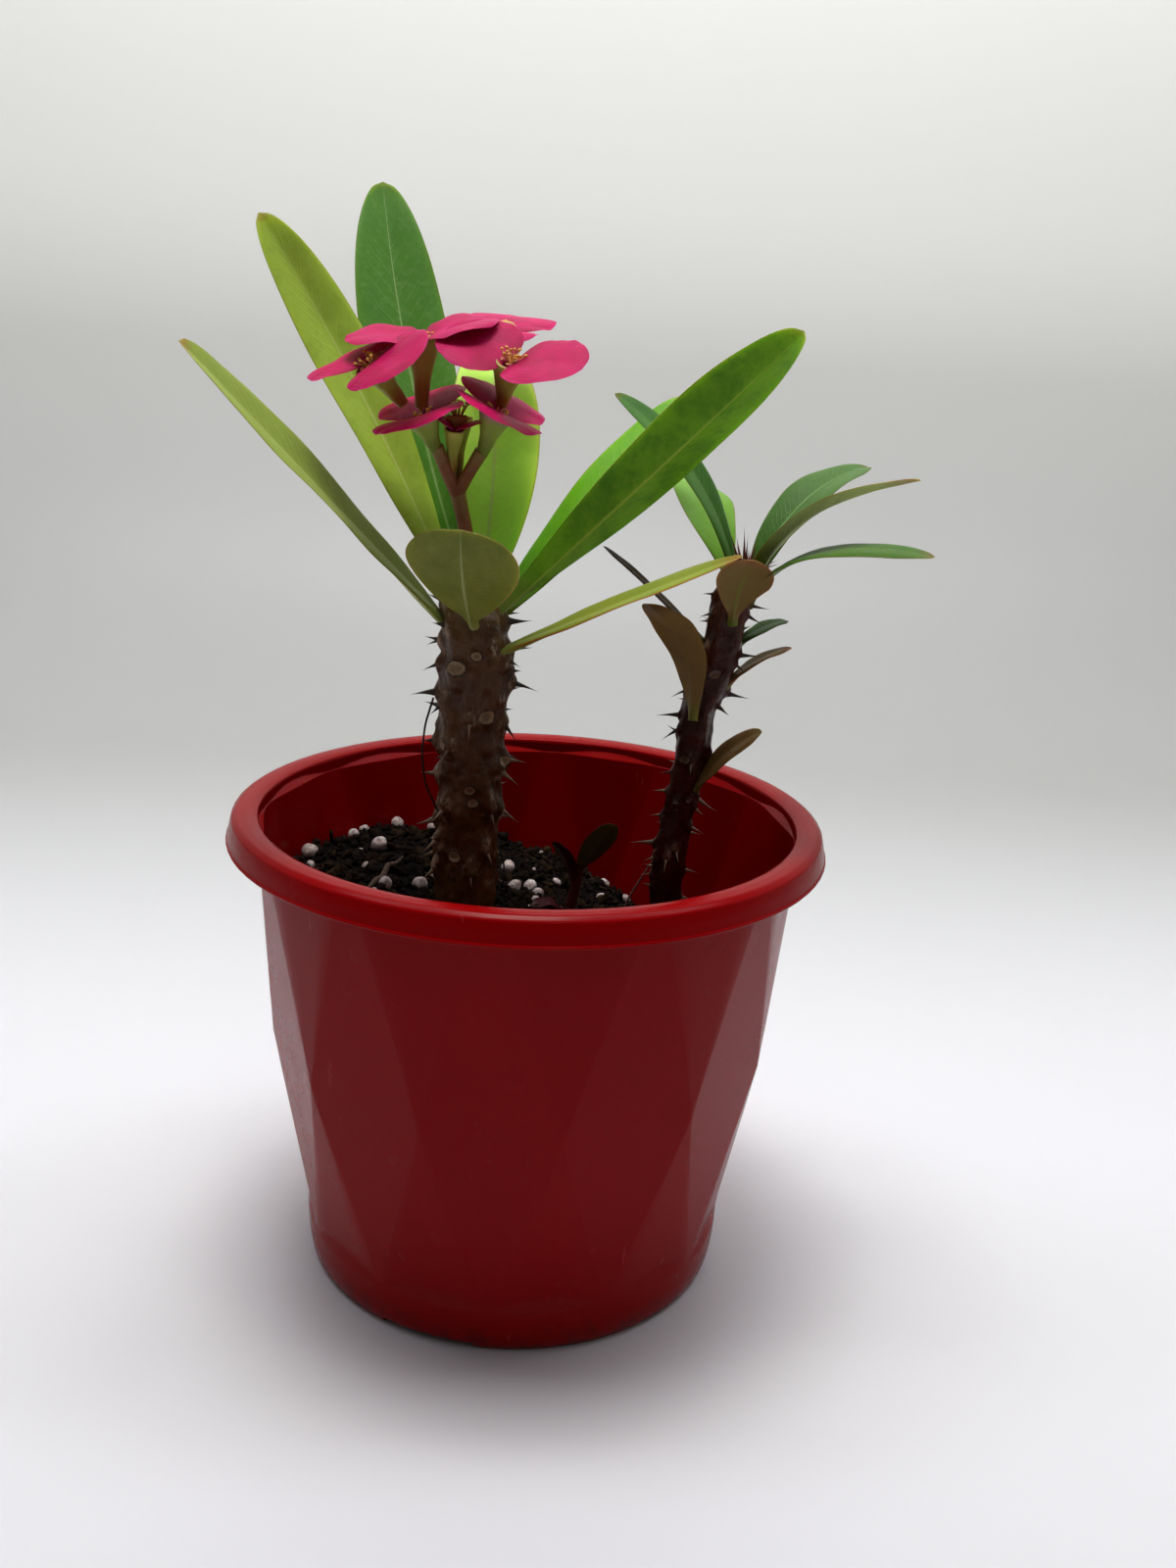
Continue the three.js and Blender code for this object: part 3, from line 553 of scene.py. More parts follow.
# a lumpy disc over a drum: rings out to the wall, down beside it, and in again along the floor
def soilSurface():
    azimuth = turns(260)
    edge = netRadius(azimuth, soil["height"], pot["wall"]) - soil["gap"]
    for _ in range(3):  # the wall's radius at the level where the soil meets it
        z = soilLevel(edge * np.cos(azimuth), edge * np.sin(azimuth)) - 2.5
        edge = netRadius(azimuth, z, pot["wall"]) - soil["gap"]
    rows = []
    for share in np.linspace(0.012, 1, 96):
        x, y = share * edge * np.cos(azimuth), share * edge * np.sin(azimuth)
        rows.append(np.stack([x, y, soilLevel(x, y) - soil["edgeDrop"] * smoothStep(0.96, 1.0, share)], -1))
    top = rows[-1][:, 2]
    for share in (0.25, 0.5, 0.75, 0.97):
        z = top * (1 - share) + 3.0 * share
        out = np.minimum(netRadius(azimuth, z, pot["wall"]) - soil["gap"], edge)
        rows.append(polar(np.minimum(out, soil["bottomRadius"] + (z - 2.0) * 0.5), azimuth, z))
    for out in (45.5, 20.0, 3.0):
        rows.append(polar(out, azimuth, soil["bottom"]))
    return tube(np.stack(rows))


# a ball of triangles: an icosahedron whose edges are halved level times and pushed out to the sphere
def ballShape(level):
    golden = (1 + 5 ** 0.5) / 2
    corners = [(-1, golden, 0), (1, golden, 0), (-1, -golden, 0), (1, -golden, 0),
               (0, -1, golden), (0, 1, golden), (0, -1, -golden), (0, 1, -golden),
               (golden, 0, -1), (golden, 0, 1), (-golden, 0, -1), (-golden, 0, 1)]
    faces = [(0, 11, 5), (0, 5, 1), (0, 1, 7), (0, 7, 10), (0, 10, 11), (1, 5, 9), (5, 11, 4),
             (11, 10, 2), (10, 7, 6), (7, 1, 8), (3, 9, 4), (3, 4, 2), (3, 2, 6), (3, 6, 8),
             (3, 8, 9), (4, 9, 5), (2, 4, 11), (6, 2, 10), (8, 6, 7), (9, 8, 1)]
    points, faces = unit(corners), np.array(faces)
    for _ in range(level):
        edges = np.sort(np.concatenate([faces[:, [0, 1]], faces[:, [1, 2]], faces[:, [2, 0]]]), 1)
        found, which = np.unique(edges, axis=0, return_inverse=True)
        ab, bc, ca = which.ravel().reshape(3, -1) + len(points)
        points = np.concatenate([points, unit(points[found].mean(1))])
        a, b, c = faces.T
        quarters = ((a, ab, ca), (ab, b, bc), (ca, bc, c), (ab, bc, ca))
        faces = np.concatenate([np.stack(corners, 1) for corners in quarters])
    return points, faces


# many lumps of one ball: each stretched, turned by its own rotation and dented by noise of its own
def scattered(level, places, sizes, rng, dent, dentCell=0.9):
    points, faces = ballShape(level)
    count = len(places)
    offset = rng.uniform(-50, 50, (count, 1, 3))
    dented = points[None] * (1 + dent * latticeNoise(points[None] + offset, dentCell, 7))[..., None]
    quaternion = unit(rng.normal(size=(count, 4)))
    w, x, y, z = quaternion.T
    turn = np.stack([1 - 2 * (y * y + z * z), 2 * (x * y - z * w), 2 * (x * z + y * w),
                     2 * (x * y + z * w), 1 - 2 * (x * x + z * z), 2 * (y * z - x * w),
                     2 * (x * z - y * w), 2 * (y * z + x * w), 1 - 2 * (x * x + y * y)], -1)
    placed = np.einsum("nij,nvj->nvi", turn.reshape(-1, 3, 3), dented * sizes[:, None, :])
    placed = placed + places[:, None, :]
    own = rng.uniform(0, 1, count)
    tris = faces[None] + (np.arange(count) * len(points))[:, None, None]
    return triangleShape(placed.reshape(-1, 3), tris.reshape(-1, 3), own=np.repeat(own, len(points)))


stemFeet = np.array([(-14.5, -6.0, 8.4), (33.8, 6.0, 4.8), (11.1, 13.8, 2.2)])  # x, y, radius kept clear


# random places on the soil, clear of the wall and of the stems' feet
def onSoil(count, rng, clear):
    angle = rng.uniform(0, 2 * np.pi, 2 * count)
    level = soil["height"] + soil["slope"] * 52 * np.cos(angle) - 6
    reach = netRadius(angle, level, pot["wall"]) - 1.6 - clear
    near = reach * np.sqrt(rng.uniform(0, 1, 2 * count))
    x, y = near * np.cos(angle), near * np.sin(angle)
    gap = np.hypot(x[:, None] - stemFeet[:, 0], y[:, None] - stemFeet[:, 1]) - stemFeet[:, 2]
    kept = (gap.min(1) > clear).nonzero()[0][:count]
    return x[kept], y[kept]


def soilFinish(name, dark, light, size):
    earth = Finish(name, Roughness=0.92, Specular_IOR_Level=0.08)
    grain = earth.clouds(size, 6.0, 0.7)
    earth.base(earth.step(grain, 0.35, 0.75), dark, light)
    grit = earth.step(earth.clouds(0.7, 2.0), 0.68, 0.76)
    earth.coat(earth.times(grit, 0.25), "#5a4d44")
    return earth.finished(Normal=earth.bump(grain, 0.7))


def perliteFinish():
    pale = Finish("perlite", Roughness=0.85, Subsurface_Weight=0.15, Subsurface_Scale=0.001)
    pores = pale.clouds(1.3, 5.0, 0.7)
    pale.base(pale.step(pores, 0.3, 0.62), *soil["beadLook"])
    stain = pale.step(pale.clouds(5.0), 0.5, 0.75)
    pale.coat(pale.times(stain, 0.45), "#8d7468")
    return pale.finished(Normal=pale.bump(pores, 0.35))


def makeSoil():
    rng = np.random.default_rng(soil["seed"])
    dark = soilFinish("pottingMix", *soil["mixLook"], 3.0)
    makePiece("soil_bed", soilSurface(), dark, ["soil"])

    x, y = onSoil(soil["crumbs"], rng, 0.2)
    least, added = soil["crumbSize"]
    size = (least + added * rng.uniform(0, 1, len(x)) ** 2.2)[:, None] * rng.uniform(0.5, 1.35, (len(x), 3))
    places = np.stack([x, y, soilLevel(x, y) + rng.uniform(-0.1, 0.7, len(x))], -1)
    crumbs = scattered(0, places, size, rng, 0.4)
    makePiece("soil_crumbs", crumbs, soilFinish("crumbs", *soil["crumbLook"], 1.6))

    x, y = onSoil(soil["chips"], rng, 1.2)
    size = rng.uniform(*soil["chipSize"], len(x))[:, None] * np.array([1.0, 0.4, 0.28])
    size = size * rng.uniform(0.6, 1.3, (len(x), 3))
    places = np.stack([x, y, soilLevel(x, y) + rng.uniform(0.2, 1.2, len(x))], -1)
    chips = scattered(1, places, size, rng, 0.34)
    makePiece("bark_chips", chips, soilFinish("barkChips", *soil["chipLook"], 1.2))

    x, y = onSoil(soil["beads"], rng, 2.0)
    radius = rng.uniform(*soil["beadSize"], len(x))
    shown = np.array(shownBeads)
    x, y = np.concatenate([x, shown[:, 0]]), np.concatenate([y, shown[:, 1]])
    radius = np.concatenate([radius, shown[:, 2]])
    room = netRadius(np.arctan2(y, x), soilLevel(x, y) - 1.0, pot["wall"]) - 1.35 * radius - 0.4
    drawnIn = np.minimum(1, room / np.hypot(x, y))  # no bead reaches the wall
    x, y = x * drawnIn, y * drawnIn
    size = radius[:, None] * rng.uniform(0.8, 1.1, (len(x), 3))
    places = np.stack([x, y, soilLevel(x, y) + 0.45 * radius], -1)
    beads = scattered(2, places, size, rng, 0.16, 0.7)
    makePiece("perlite", beads, perliteFinish())
    print("soil made:", len(crumbs["tris"]) + len(chips["tris"]) + len(beads["tris"]), "loose faces")


makeSoil()


# the stems and their spines

mainStem = {
    "node": "main_stem",
    # x, y, z and radius up the stem
    "stations": [(-14, -6, 46, 3.5), (-14.4, -6, 60, 6.2), (-14.5, -6, 84, 7.0), (-14.5, -6, 97, 7.0),
                 (-14.4, -6, 108, 7.3), (-13.9, -6, 119, 7.1), (-14, -6, 131, 7.3), (-13.8, -6, 138, 7.3),
                 (-13.4, -6, 145, 7.9), (-13.2, -6, 151, 7.4), (-13.8, -6, 157, 7.1),
                 (-14.4, -6, 162, 6.4), (-15, -6, 166, 4.4), (-15.2, -6, 168.5, 1.6)],
    "ribs": 8, "ribDepth": 0.035, "twist": 60, "rings": 320, "sides": 132, "lumps": 0.7, "seed": 21,
    # spines that show in front: z of the foot, azimuth, length, rise in degrees, and how pale
    "shown": [
        (163, 200, 4.2, 16, 0.1), (158, 215, 3.6, 8, 0.1), (154, 188, 3.8, 8, 0.1),
        (149, 192, 4.2, -12, 0.1), (142, 184, 6.0, 2, 0.1), (140, 205, 3.0, -35, 0.2),
        (131, 186, 3.8, -10, 0.1), (123, 190, 4.0, 0, 0.8), (116, 226, 4.8, -28, 0.9),
        (112, 188, 4.6, -18, 0.9), (108, 212, 4.0, -28, 0.9), (101, 206, 4.0, -38, 0.8),
        (159, -12, 5.8, 2, 0.1), (159, -55, 3.6, -12, 0.2), (153, -8, 4.8, -2, 0.1),
        (151, -30, 3.4, -14, 0.2), (145, -6, 6.0, -8, 0.15), (148, -20, 2.6, 8, 0.3),
        (155, -62, 4.4, -34, 0.9), (138, -92, 4.2, -52, 0.95), (136, -16, 4.6, -46, 0.15),
        (127, -8, 5.2, 0, 0.9), (125, -26, 5.4, -22, 0.9), (116, -22, 5.6, -28, 0.9),
        (117, -50, 4.4, -52, 0.95), (107, -52, 4.2, -42, 0.9), (102, -78, 3.6, -56, 0.95),
        (131, -126, 3.2, -38, 0.8),
    ],
    # rows of spines at the back: from z to z, how many rows, spines in a row, azimuths and length
    "behind": {"from": 96, "to": 160, "rows": 9, "around": 4, "sweep": (20, 165), "length": 4.6},
    "radius": 0.85,
    # leaf scars: z, azimuth, half height
    "scars": [(149, -121, 1.6), (138, -62, 1.5), (131, -141, 1.3), (121, -88, 1.0), (118, -82, 1.0),
              (105, -108, 1.2), (152, -88, 1.0), (127, -20, 1.1), (143, 60, 1.5), (128, 110, 1.4),
              (112, 75, 1.3), (150, 130, 1.4), (135, 170, 1.2)],
}

secondStem = {
    "node": "second_stem",
    "stations": [(33, 6, 44, 1.6), (33.4, 6, 58, 2.8), (33.8, 6, 74, 3.3), (33.8, 6, 90, 3.5),
                 (34.6, 6, 103, 4.0), (36.3, 6, 116, 3.5), (38.2, 6, 128, 3.9), (38.5, 6, 137, 4.2),
                 (41.2, 6, 144, 4.6), (43.4, 6, 153, 4.4), (44.1, 6, 161, 4.5), (45.5, 6, 167, 4.1),
                 (46.8, 6, 171, 2.9), (47.6, 6, 173.5, 1.0)],
    "ribs": 5, "ribDepth": 0.06, "twist": 110, "rings": 320, "sides": 88, "lumps": 0.32, "seed": 22,
    "shown": [
        (165, 190, 3.2, 10, 0.1), (161, 205, 3.4, -12, 0.1), (159, 196, 2.4, -2, 0.2),
        (136, 182, 5.4, 2, 0.1), (133, 196, 4.6, -24, 0.1), (142, 160, 4.4, -22, 0.5),
        (145, 150, 3.4, 40, 0.5), (122, 186, 3.2, -3, 0.2), (111, 188, 3.2, 10, 0.8),
        (104, 184, 6.4, 4, 0.95), (101, 206, 3.4, -14, 0.9), (96, 190, 2.8, 0, 0.9),
        (163, -10, 4.6, -14, 0.1), (161, -28, 4.8, -26, 0.1), (151, -6, 5.0, 0, 0.15),
        (149, -20, 2.4, -26, 0.3), (142, -8, 5.6, -14, 0.1), (139, -24, 3.2, -30, 0.15),
        (127, -12, 1.8, 0, 0.2), (116, -10, 6.2, -34, 0.9), (114, -26, 3.4, -36, 0.9),
        (109, -34, 4.0, -8, 0.9), (98, -28, 3.8, 0, 0.95), (91, -20, 2.8, -6, 0.9),
        (102, -106, 4.0, -46, 0.95), (104, -80, 4.0, -40, 0.95), (93, 200, 3.0, 20, 0.95),
        (126, -95, 3.6, -50, 0.8), (115, -112, 2.6, 20, 0.7), (153, -150, 3.0, -10, 0.3),
    ],
    "behind": {"from": 90, "to": 164, "rows": 10, "around": 3, "sweep": (25, 160), "length": 4.4},
    "radius": 0.6,
    "scars": [(147, -95, 1.1), (126, -118, 1.0), (116, -60, 0.9), (140, 80, 1.1), (122, 120, 1.0),
              (105, 60, 1.0), (156, 100, 1.0)],
}

sproutStem = {
    "node": "sprout_stem",
    "stations": [(11.4, 14, 66, 0.8), (11, 14, 76, 1.3), (11.3, 13.6, 84, 1.35), (12.6, 13, 91, 1.3),
                 (13.4, 12.6, 96.5, 0.7)],
    "ribs": 4, "ribDepth": 0.04, "twist": 40, "rings": 90, "sides": 32, "lumps": 0.08, "seed": 23,
    "shown": [], "behind": None, "radius": 0.3, "scars": [],
}


# the stem's axis and radius at z, from its stations
def stemAt(stem, z):
    stations = np.array(stem["stations"])
    low, high = stations[0, 2], stations[-1, 2]
    knots = (stations[:, 2] - low) / (high - low)
    return softRows((np.asarray(z, float) - low) / (high - low), knots, stations, 0.022)


# every spine of a stem: the ones that show, and rows behind that turn by part of a step
def spineSites(stem):
    sites = [tuple(site) for site in stem["shown"]]
    behind = stem["behind"]
    if behind:
        rng = np.random.default_rng(stem["seed"])
        first, last = behind["sweep"]
        for row, z in enumerate(np.linspace(behind["from"], behind["to"], behind["rows"])):
            for k in range(behind["around"]):
                part = (k + 0.5 * (row % 2) + rng.uniform(0, 0.35)) / behind["around"]
                turn = first + (last - first) * part
                pale = 0.85 if z < 128 else 0.1
                sites.append((z + rng.uniform(-2, 2), turn, behind["length"] * rng.uniform(0.7, 1.2),
                              rng.uniform(-35, 15), pale))
    return np.array(sites) if sites else np.zeros((0, 5))


# how far round the skin each azimuth is from a spot's
def roundSkin(azimuth, spotTurn, radius):
    return np.arctan2(np.sin(azimuth - spotTurn), np.cos(azimuth - spotTurn)) * radius


# hills on the stem at (z, azimuth): the highest of bell curves of the distance over the skin
def hills(z, azimuth, radius, spots, tall, wide):
    total = np.zeros(azimuth.shape)
    for spotZ, spotTurn in spots:
        aside = roundSkin(azimuth, spotTurn, radius)
        total = np.maximum(total, np.exp(-((z - spotZ) / tall) ** 2 - (aside / wide) ** 2))
    return total


# level circles up the stations, with winding ribs, hills under the spines, scars and fine noise
def stemSurface(stem):
    stations = np.array(stem["stations"])
    share = np.linspace(0, 1, stem["rings"])
    share = share + 0.12 * np.sin(np.pi * 2 * share) / (2 * np.pi)  # rings a little closer at mid height
    z = stations[0, 2] + (stations[-1, 2] - stations[0, 2]) * share
    line = stemAt(stem, z)
    angle, height = np.broadcast_arrays(turns(stem["sides"])[None], z[:, None])
    middle = line[:, None, :3] * [1, 1, 0]
    radius = line[:, 3:4]
    twist = np.radians(stem["twist"]) * share[:, None]
    out = radius * (1 + stem["ribDepth"] * np.cos(stem["ribs"] * (angle - twist)))
    size = stations[:, 3].max()
    feet = [(row[0], np.radians(row[1])) for row in spineSites(stem)]
    wart = hills(height, angle, radius, feet, 0.34 * size, 0.2 * size)
    scar = np.zeros(angle.shape)
    lip = np.zeros(angle.shape)
    for spotZ, spotTurn, half in stem["scars"]:
        aside = roundSkin(angle, np.radians(spotTurn), radius)
        far = np.hypot((height - spotZ) / half, aside / (1.25 * half))
        scar = np.maximum(scar, np.clip(1.35 - far, 0, 1))
        lip = np.maximum(lip, np.exp(-((far - 1.1) / 0.3) ** 2))
    spot = polar(radius, angle, height) + middle
    lumps = latticeNoise(spot, 5.5, stem["seed"]) + 0.5 * latticeNoise(spot, 2.1, stem["seed"] + 1)
    lumps = lumps + 0.25 * latticeNoise(spot * [1, 1, 0.5], 0.8, stem["seed"] + 2)
    taper = smoothStep(0, 4, radius)
    out = out + taper * (stem["lumps"] * lumps + 0.2 * size * wart + 0.25 * lip - 0.1 * scar)
    return tube(polar(out, angle, height) + middle, scar=scar, wart=wart, rise=share[:, None])


# thorns: each a bent cone on a centre line, whose radius falls steeply from a broad foot to its point
def thorns(feet, ways, lengths, radii, droop, pale):
    rings, sides = 7, 7
    s = np.linspace(0, 1, rings)[None, :, None, None]
    turn = turns(sides)[None, None, :, None]
    ways = unit(ways)
    level = unit(np.cross(ways, [0.01, 0.02, 1.0]))
    above = np.cross(level, ways)
    length = lengths[:, None, None, None]
    middle = feet[:, None, None, :] + ways[:, None, None, :] * s * length
    middle = middle + np.array([0, 0, 1.0]) * (droop[:, None, None, None] * s * s * length)
    width = radii[:, None, None, None] * ((1 - s) ** 1.7 * 0.93 + 0.07 * (1 - s))
    ring = level[:, None, None, :] * np.cos(turn) + above[:, None, None, :] * (1.25 * np.sin(turn))
    points = middle + width * ring
    return joined([tube(points[n], pale=pale[n], out=s[0, :, :, 0]) for n in range(len(feet))])


sunk = 0.9  # how deep a spine's foot is in the skin


def spineThorns(stem):
    z, turn, length, rise, pale = spineSites(stem).T
    turn, rise = np.radians(turn), np.radians(rise)
    line = stemAt(stem, z)
    out = polar(1.0, turn, 0.0)
    seat = line[:, 3] + 0.1 * np.array(stem["stations"])[:, 3].max() - sunk
    feet = np.stack([line[:, 0], line[:, 1], z], -1) + out * seat[:, None]
    ways = out * np.cos(rise)[:, None] + np.array([0, 0, 1.0]) * np.sin(rise)[:, None]
    rng = np.random.default_rng(stem["seed"] + 7)
    droop = rng.uniform(-0.18, 0.12, len(z))
    radii = stem["radius"] * rng.uniform(0.85, 1.25, len(z)) * (0.75 + 0.25 * length / 4.5)
    return thorns(feet, ways, length + sunk, radii, droop, pale)


# young spines that show above the second stem: where they start from, and the tip of each
tuft = {"root": (47.0, 5.0, 170.6), "radius": 0.55, "tips": [
    (43.1, 6, 179), (44.7, 4.6, 176.4), (46.2, 6, 180.3), (46.8, 3.4, 178.6), (51.8, 4.4, 174.9),
    (52.8, 6.4, 176.4), (53.6, 3.6, 173.6), (49.6, 8.4, 177.6), (41.4, 4.2, 173.8), (50.4, 2.0, 175.6),
    (45, 9.6, 177.9), (42.2, 8.6, 175.8), (48.4, 1.2, 176.6), (54.6, 6.8, 172.4), (41.0, 1.8, 171.6)]}


def tuftThorns():
    root, tips = np.array(tuft["root"]), np.array(tuft["tips"], float)
    feet = root + (tips - root) * [0.24, 0.24, 0.06]
    count = len(tips)
    lengths = np.linalg.norm(tips - feet, axis=1) + 1.0
    radii = np.full(count, tuft["radius"])
    return thorns(feet, tips - feet, lengths, radii, np.zeros(count), np.full(count, 0.35))


# young bristles at a growing tip: they fan out from its top
def bristles(centre, spread, count, length, seed):
    rng = np.random.default_rng(seed)
    turn = np.arange(count) * 2.4 + rng.uniform(-0.3, 0.3, count)
    lean = np.radians(rng.uniform(4, 52, count))
    out = polar(np.sin(lean), turn, np.cos(lean))
    feet = np.array(centre) + out * [spread, spread, 0.6]
    return thorns(feet, out, length * rng.uniform(0.65, 1.25, count), np.full(count, 0.34),
                  rng.uniform(-0.1, 0.1, count), np.full(count, 0.45))


# a stem's colours, and how rough, bumpy and shiny it is
stemLooks = {
    "thick": {"skin": "#4e2c10", "second": "#624018", "dark": "#241006", "scar": "#a89270", "wart": "#75604a",
              "cork": "#a8937c", "young": "#6c5430", "gloss": 0.34, "bump": 0.35, "shine": 0.4},
    "thin": {"skin": "#3c140c", "second": "#501e10", "dark": "#180704", "scar": "#7d6554", "wart": "#553426",
             "cork": "#86695a", "young": "#4f2716", "gloss": 0.28, "bump": 0.2, "shine": 0.3},
    "sprout": {"skin": "#4a1a1b", "second": "#5c2522", "dark": "#2c0f10", "scar": "#7d6554",
               "wart": "#5c2522",
               "cork": "#5c2522", "young": "#5f3226", "gloss": 0.4, "bump": 0.1, "shine": 0.3},
}


def stemFinish(name, look):
    bark = Finish(name, Specular_IOR_Level=look["shine"])
    broad = bark.clouds(7.0, 4.0, 0.6)
    grain = bark.clouds(1.5, 5.0, 0.65, (1.0, 1.0, 0.35))
    pits = bark.clouds(0.6, 3.0, 0.6)
    rise, wart, scar = (bark.attribute(key) for key in ("rise", "wart", "scar"))
    bark.base(bark.step(broad, 0.35, 0.65), look["skin"], look["second"])
    bark.coat(bark.step(grain, 0.56, 0.76), look["dark"])
    bark.coat(bark.step(rise, 0.86, 0.98, 0.0, 0.8), look["young"])
    # painted shade: the stem is darkened low down, where it stands inside the pot
    bark.coat(bark.step(rise, 0.46, 0.3, 0.0, 0.55), look["dark"])
    bark.coat(bark.step(bark.times(wart, broad), 0.2, 0.75, 0.0, 0.75), look["wart"])
    # leaf scars: a dark outline, a pale ring and a duller middle, all uneven
    uneven = bark.times(bark.minus(bark.clouds(1.6, 4.0, 0.6), 0.5), 0.7)
    scar = bark.plus(scar, bark.times(uneven, bark.step(scar, 0.0, 0.3)))
    outline = bark.times(bark.step(scar, 0.02, 0.2), bark.step(scar, 0.4, 0.2))
    bark.coat(bark.times(outline, 0.7), look["dark"])
    worn = bark.times(bark.step(scar, 0.3, 0.45), bark.step(pits, 0.3, 0.5, 0.7, 1.0))
    bark.coat(bark.times(worn, 0.85), look["scar"])
    bark.coat(bark.step(scar, 0.6, 0.9, 0.0, 0.4), look["skin"])
    # corky pale patches, most of them near the spines
    cork = bark.step(bark.clouds(3.4, 6.0, 0.7, (1.0, 1.0, 0.6)), 0.5, 0.6)
    cork = bark.times(cork, bark.step(wart, 0.08, 0.5, 0.1, 0.9))
    bark.coat(cork, look["cork"])
    gloss = bark.step(grain, 0.3, 0.7, look["gloss"] - 0.1, look["gloss"] + 0.16)
    relief = bark.bump(grain, look["bump"], bark.bump(pits, 0.12))
    gloss = bark.plus(gloss, bark.times(cork, 0.3))
    return bark.finished(Roughness=gloss, Normal=bark.bump(broad, 1.0, relief))


def spineFinish(name, dark, pale):
    horn = Finish(name, Roughness=0.45)
    fine = horn.clouds(0.8)
    out = horn.attribute("out")
    share = horn.times(horn.attribute("pale"), horn.step(fine, 0.25, 0.6, 0.6, 1.0))
    horn.base(horn.times(share, horn.step(out, 1.0, 0.7, 0.65, 1.0)), dark, pale)
    horn.coat(horn.step(out, 0.3, 0.0, 0.0, 0.5), "#5a4638")
    return horn.finished(Normal=horn.bump(fine, 0.05))


def makeStems():
    thorn = spineFinish("thorn", "#1d1512", "#a08c74")
    young = spineFinish("youngThorn", "#4a1614", "#8a4434")
    for key, stem, name, slot in (("thick", mainStem, "thickBark", "thick_stem_bark"),
                                  ("thin", secondStem, "thinBark", "thin_stem_bark"),
                                  ("sprout", sproutStem, "sproutSkin", "sprout_skin")):
        makePiece("stem_" + key, stemSurface(stem), stemFinish(name, stemLooks[key]), [stem["node"]])
    makePiece("spines_thick", spineThorns(mainStem), thorn)
    makePiece("spines_thin", spineThorns(secondStem), thorn)
    tips = [tuftThorns(), bristles((46.9, 5.6, 170.5), 2.2, 14, 5.0, 31),
            bristles((-15.1, -6.0, 165.0), 3.4, 12, 4.5, 32)]
    makePiece("young_spines", joined(tips), young)
    print("stems made")


makeStems()


# the leaves

# a blade's usual shape: where along it is widest, how blunt its tip, its V fold in degrees, how thick the
# blade and the stalk are, half the stalk's width, the edge's own half width, the midrib's ridge, how far
# and how often its edges wave and curl, how many columns and rows its mesh has, and its turn and bends
bladeShape = {"widest": 0.58, "tipPower": 0.55, "fold": 14, "blade": 0.62, "stalk": 2.3,
              "stalkHalf": 1.15, "edge": 0.12, "ridge": 0.35, "wave": 0.22, "waves": 2.3, "curl": 0.35,
              "around": 23, "steps": 84, "turn": 0, "arch": 0, "sway": 0, "up": (0, 0, 1), "seed": 0}


# a blade on a bent midrib. Its half width rises as u to a power and falls to the tip as (1 - u) to
# another; its halves fold up from the midrib, its edges wave, and its base narrows to a round stalk
def bladeSurface(spec):
    shape = {**bladeShape, **spec}
    base, tip = np.array(shape["base"], float), np.array(shape["tip"], float)
    along = unit(tip - base)
    level = unit(np.cross(along, shape["up"]))
    angle = -np.radians(shape["turn"])
    side = level * np.cos(angle) + np.cross(along, level) * np.sin(angle)
    normal = np.cross(side, along)
    bend = (base + tip) / 2 + 2 * shape["arch"] * normal + 2 * shape["sway"] * side

    s = np.linspace(0, 1, shape["steps"])
    u = 0.35 * s + 0.65 * (1 - np.cos(np.pi * s)) / 2
    u = np.clip(u, 0, 0.9995)[:, None]
    rib = (1 - u) ** 2 * base + 2 * u * (1 - u) * bend + u * u * tip
    tangent = unit(2 * (1 - u) * (bend - base) + 2 * u * (tip - bend))
    across = unit(side - (tangent @ side)[:, None] * tangent)
    out = np.cross(across, tangent)

    rise = shape["tipPower"] * shape["widest"] / (1 - shape["widest"])
    peak = shape["widest"] ** rise * (1 - shape["widest"]) ** shape["tipPower"]
    full = shape["width"] / 2 * u ** rise * (1 - u) ** shape["tipPower"] / peak
    half = np.hypot(full, shape["stalkHalf"] * (1 - u) ** 2) + shape["edge"]
    half = half * smoothStep(1.004, 0.985, u) ** 0.5

    edge = np.sin(np.linspace(-np.pi / 2, np.pi / 2, shape["around"]))
    v = np.concatenate([edge, edge[-2:0:-1]])[None]
    upper = np.concatenate([np.ones(shape["around"]), np.zeros(shape["around"] - 2)])[None]
    upper[0, [0, shape["around"] - 1]] = 0.5
    thick = shape["blade"] + (shape["stalk"] - shape["blade"]) * (1 - u) ** 5
    thick = thick * smoothStep(1.02, 0.9, u)
    depth = thick / 2 * np.sqrt(np.maximum(1 - v ** 4, 0)) * (1 - 0.35 * np.abs(v))
    depth = depth * np.where(upper > 0.5, 1, -1)
    ridge = shape["ridge"] * np.exp(-(v / (0.05 + 0.09 * (1 - u))) ** 2) * (1 - u) ** 0.7
    depth = depth - ridge * np.where(upper > 0.5, 0.35, 1.0) * smoothStep(0.0, 0.12, u)

    fold = np.radians(shape["fold"])
    bent = np.sqrt(v * v + 0.012) - 0.11  # a V with a rounded bottom
    seed, curl = shape["seed"], shape["curl"] * np.abs(v) ** 4
    wave = np.sin(2 * np.pi * (shape["waves"] * u + 0.17 * seed) + 0.6 * np.sign(v)) * np.abs(v) ** 2.5
    place = np.stack(np.broadcast_arrays(u * 9, v * 1.5, seed * 3.3), -1)
    ripple = latticeNoise(place, 1.0, 40 + seed) * np.abs(v) ** 1.5
    swell = smoothStep(0.06, 0.3, u) * smoothStep(1.0, 0.85, u)
    lift = bent * half * np.sin(fold)
    lift = lift + swell * (shape["wave"] * wave + 0.8 * shape["wave"] * ripple) - curl * swell
    sides = -v * half * np.cos(fold)
    points = (rib[:, None, :] + across[:, None, :] * sides[..., None]
              + out[:, None, :] * (lift + depth)[..., None])
    return tube(points, along=u, across=v, upper=upper)


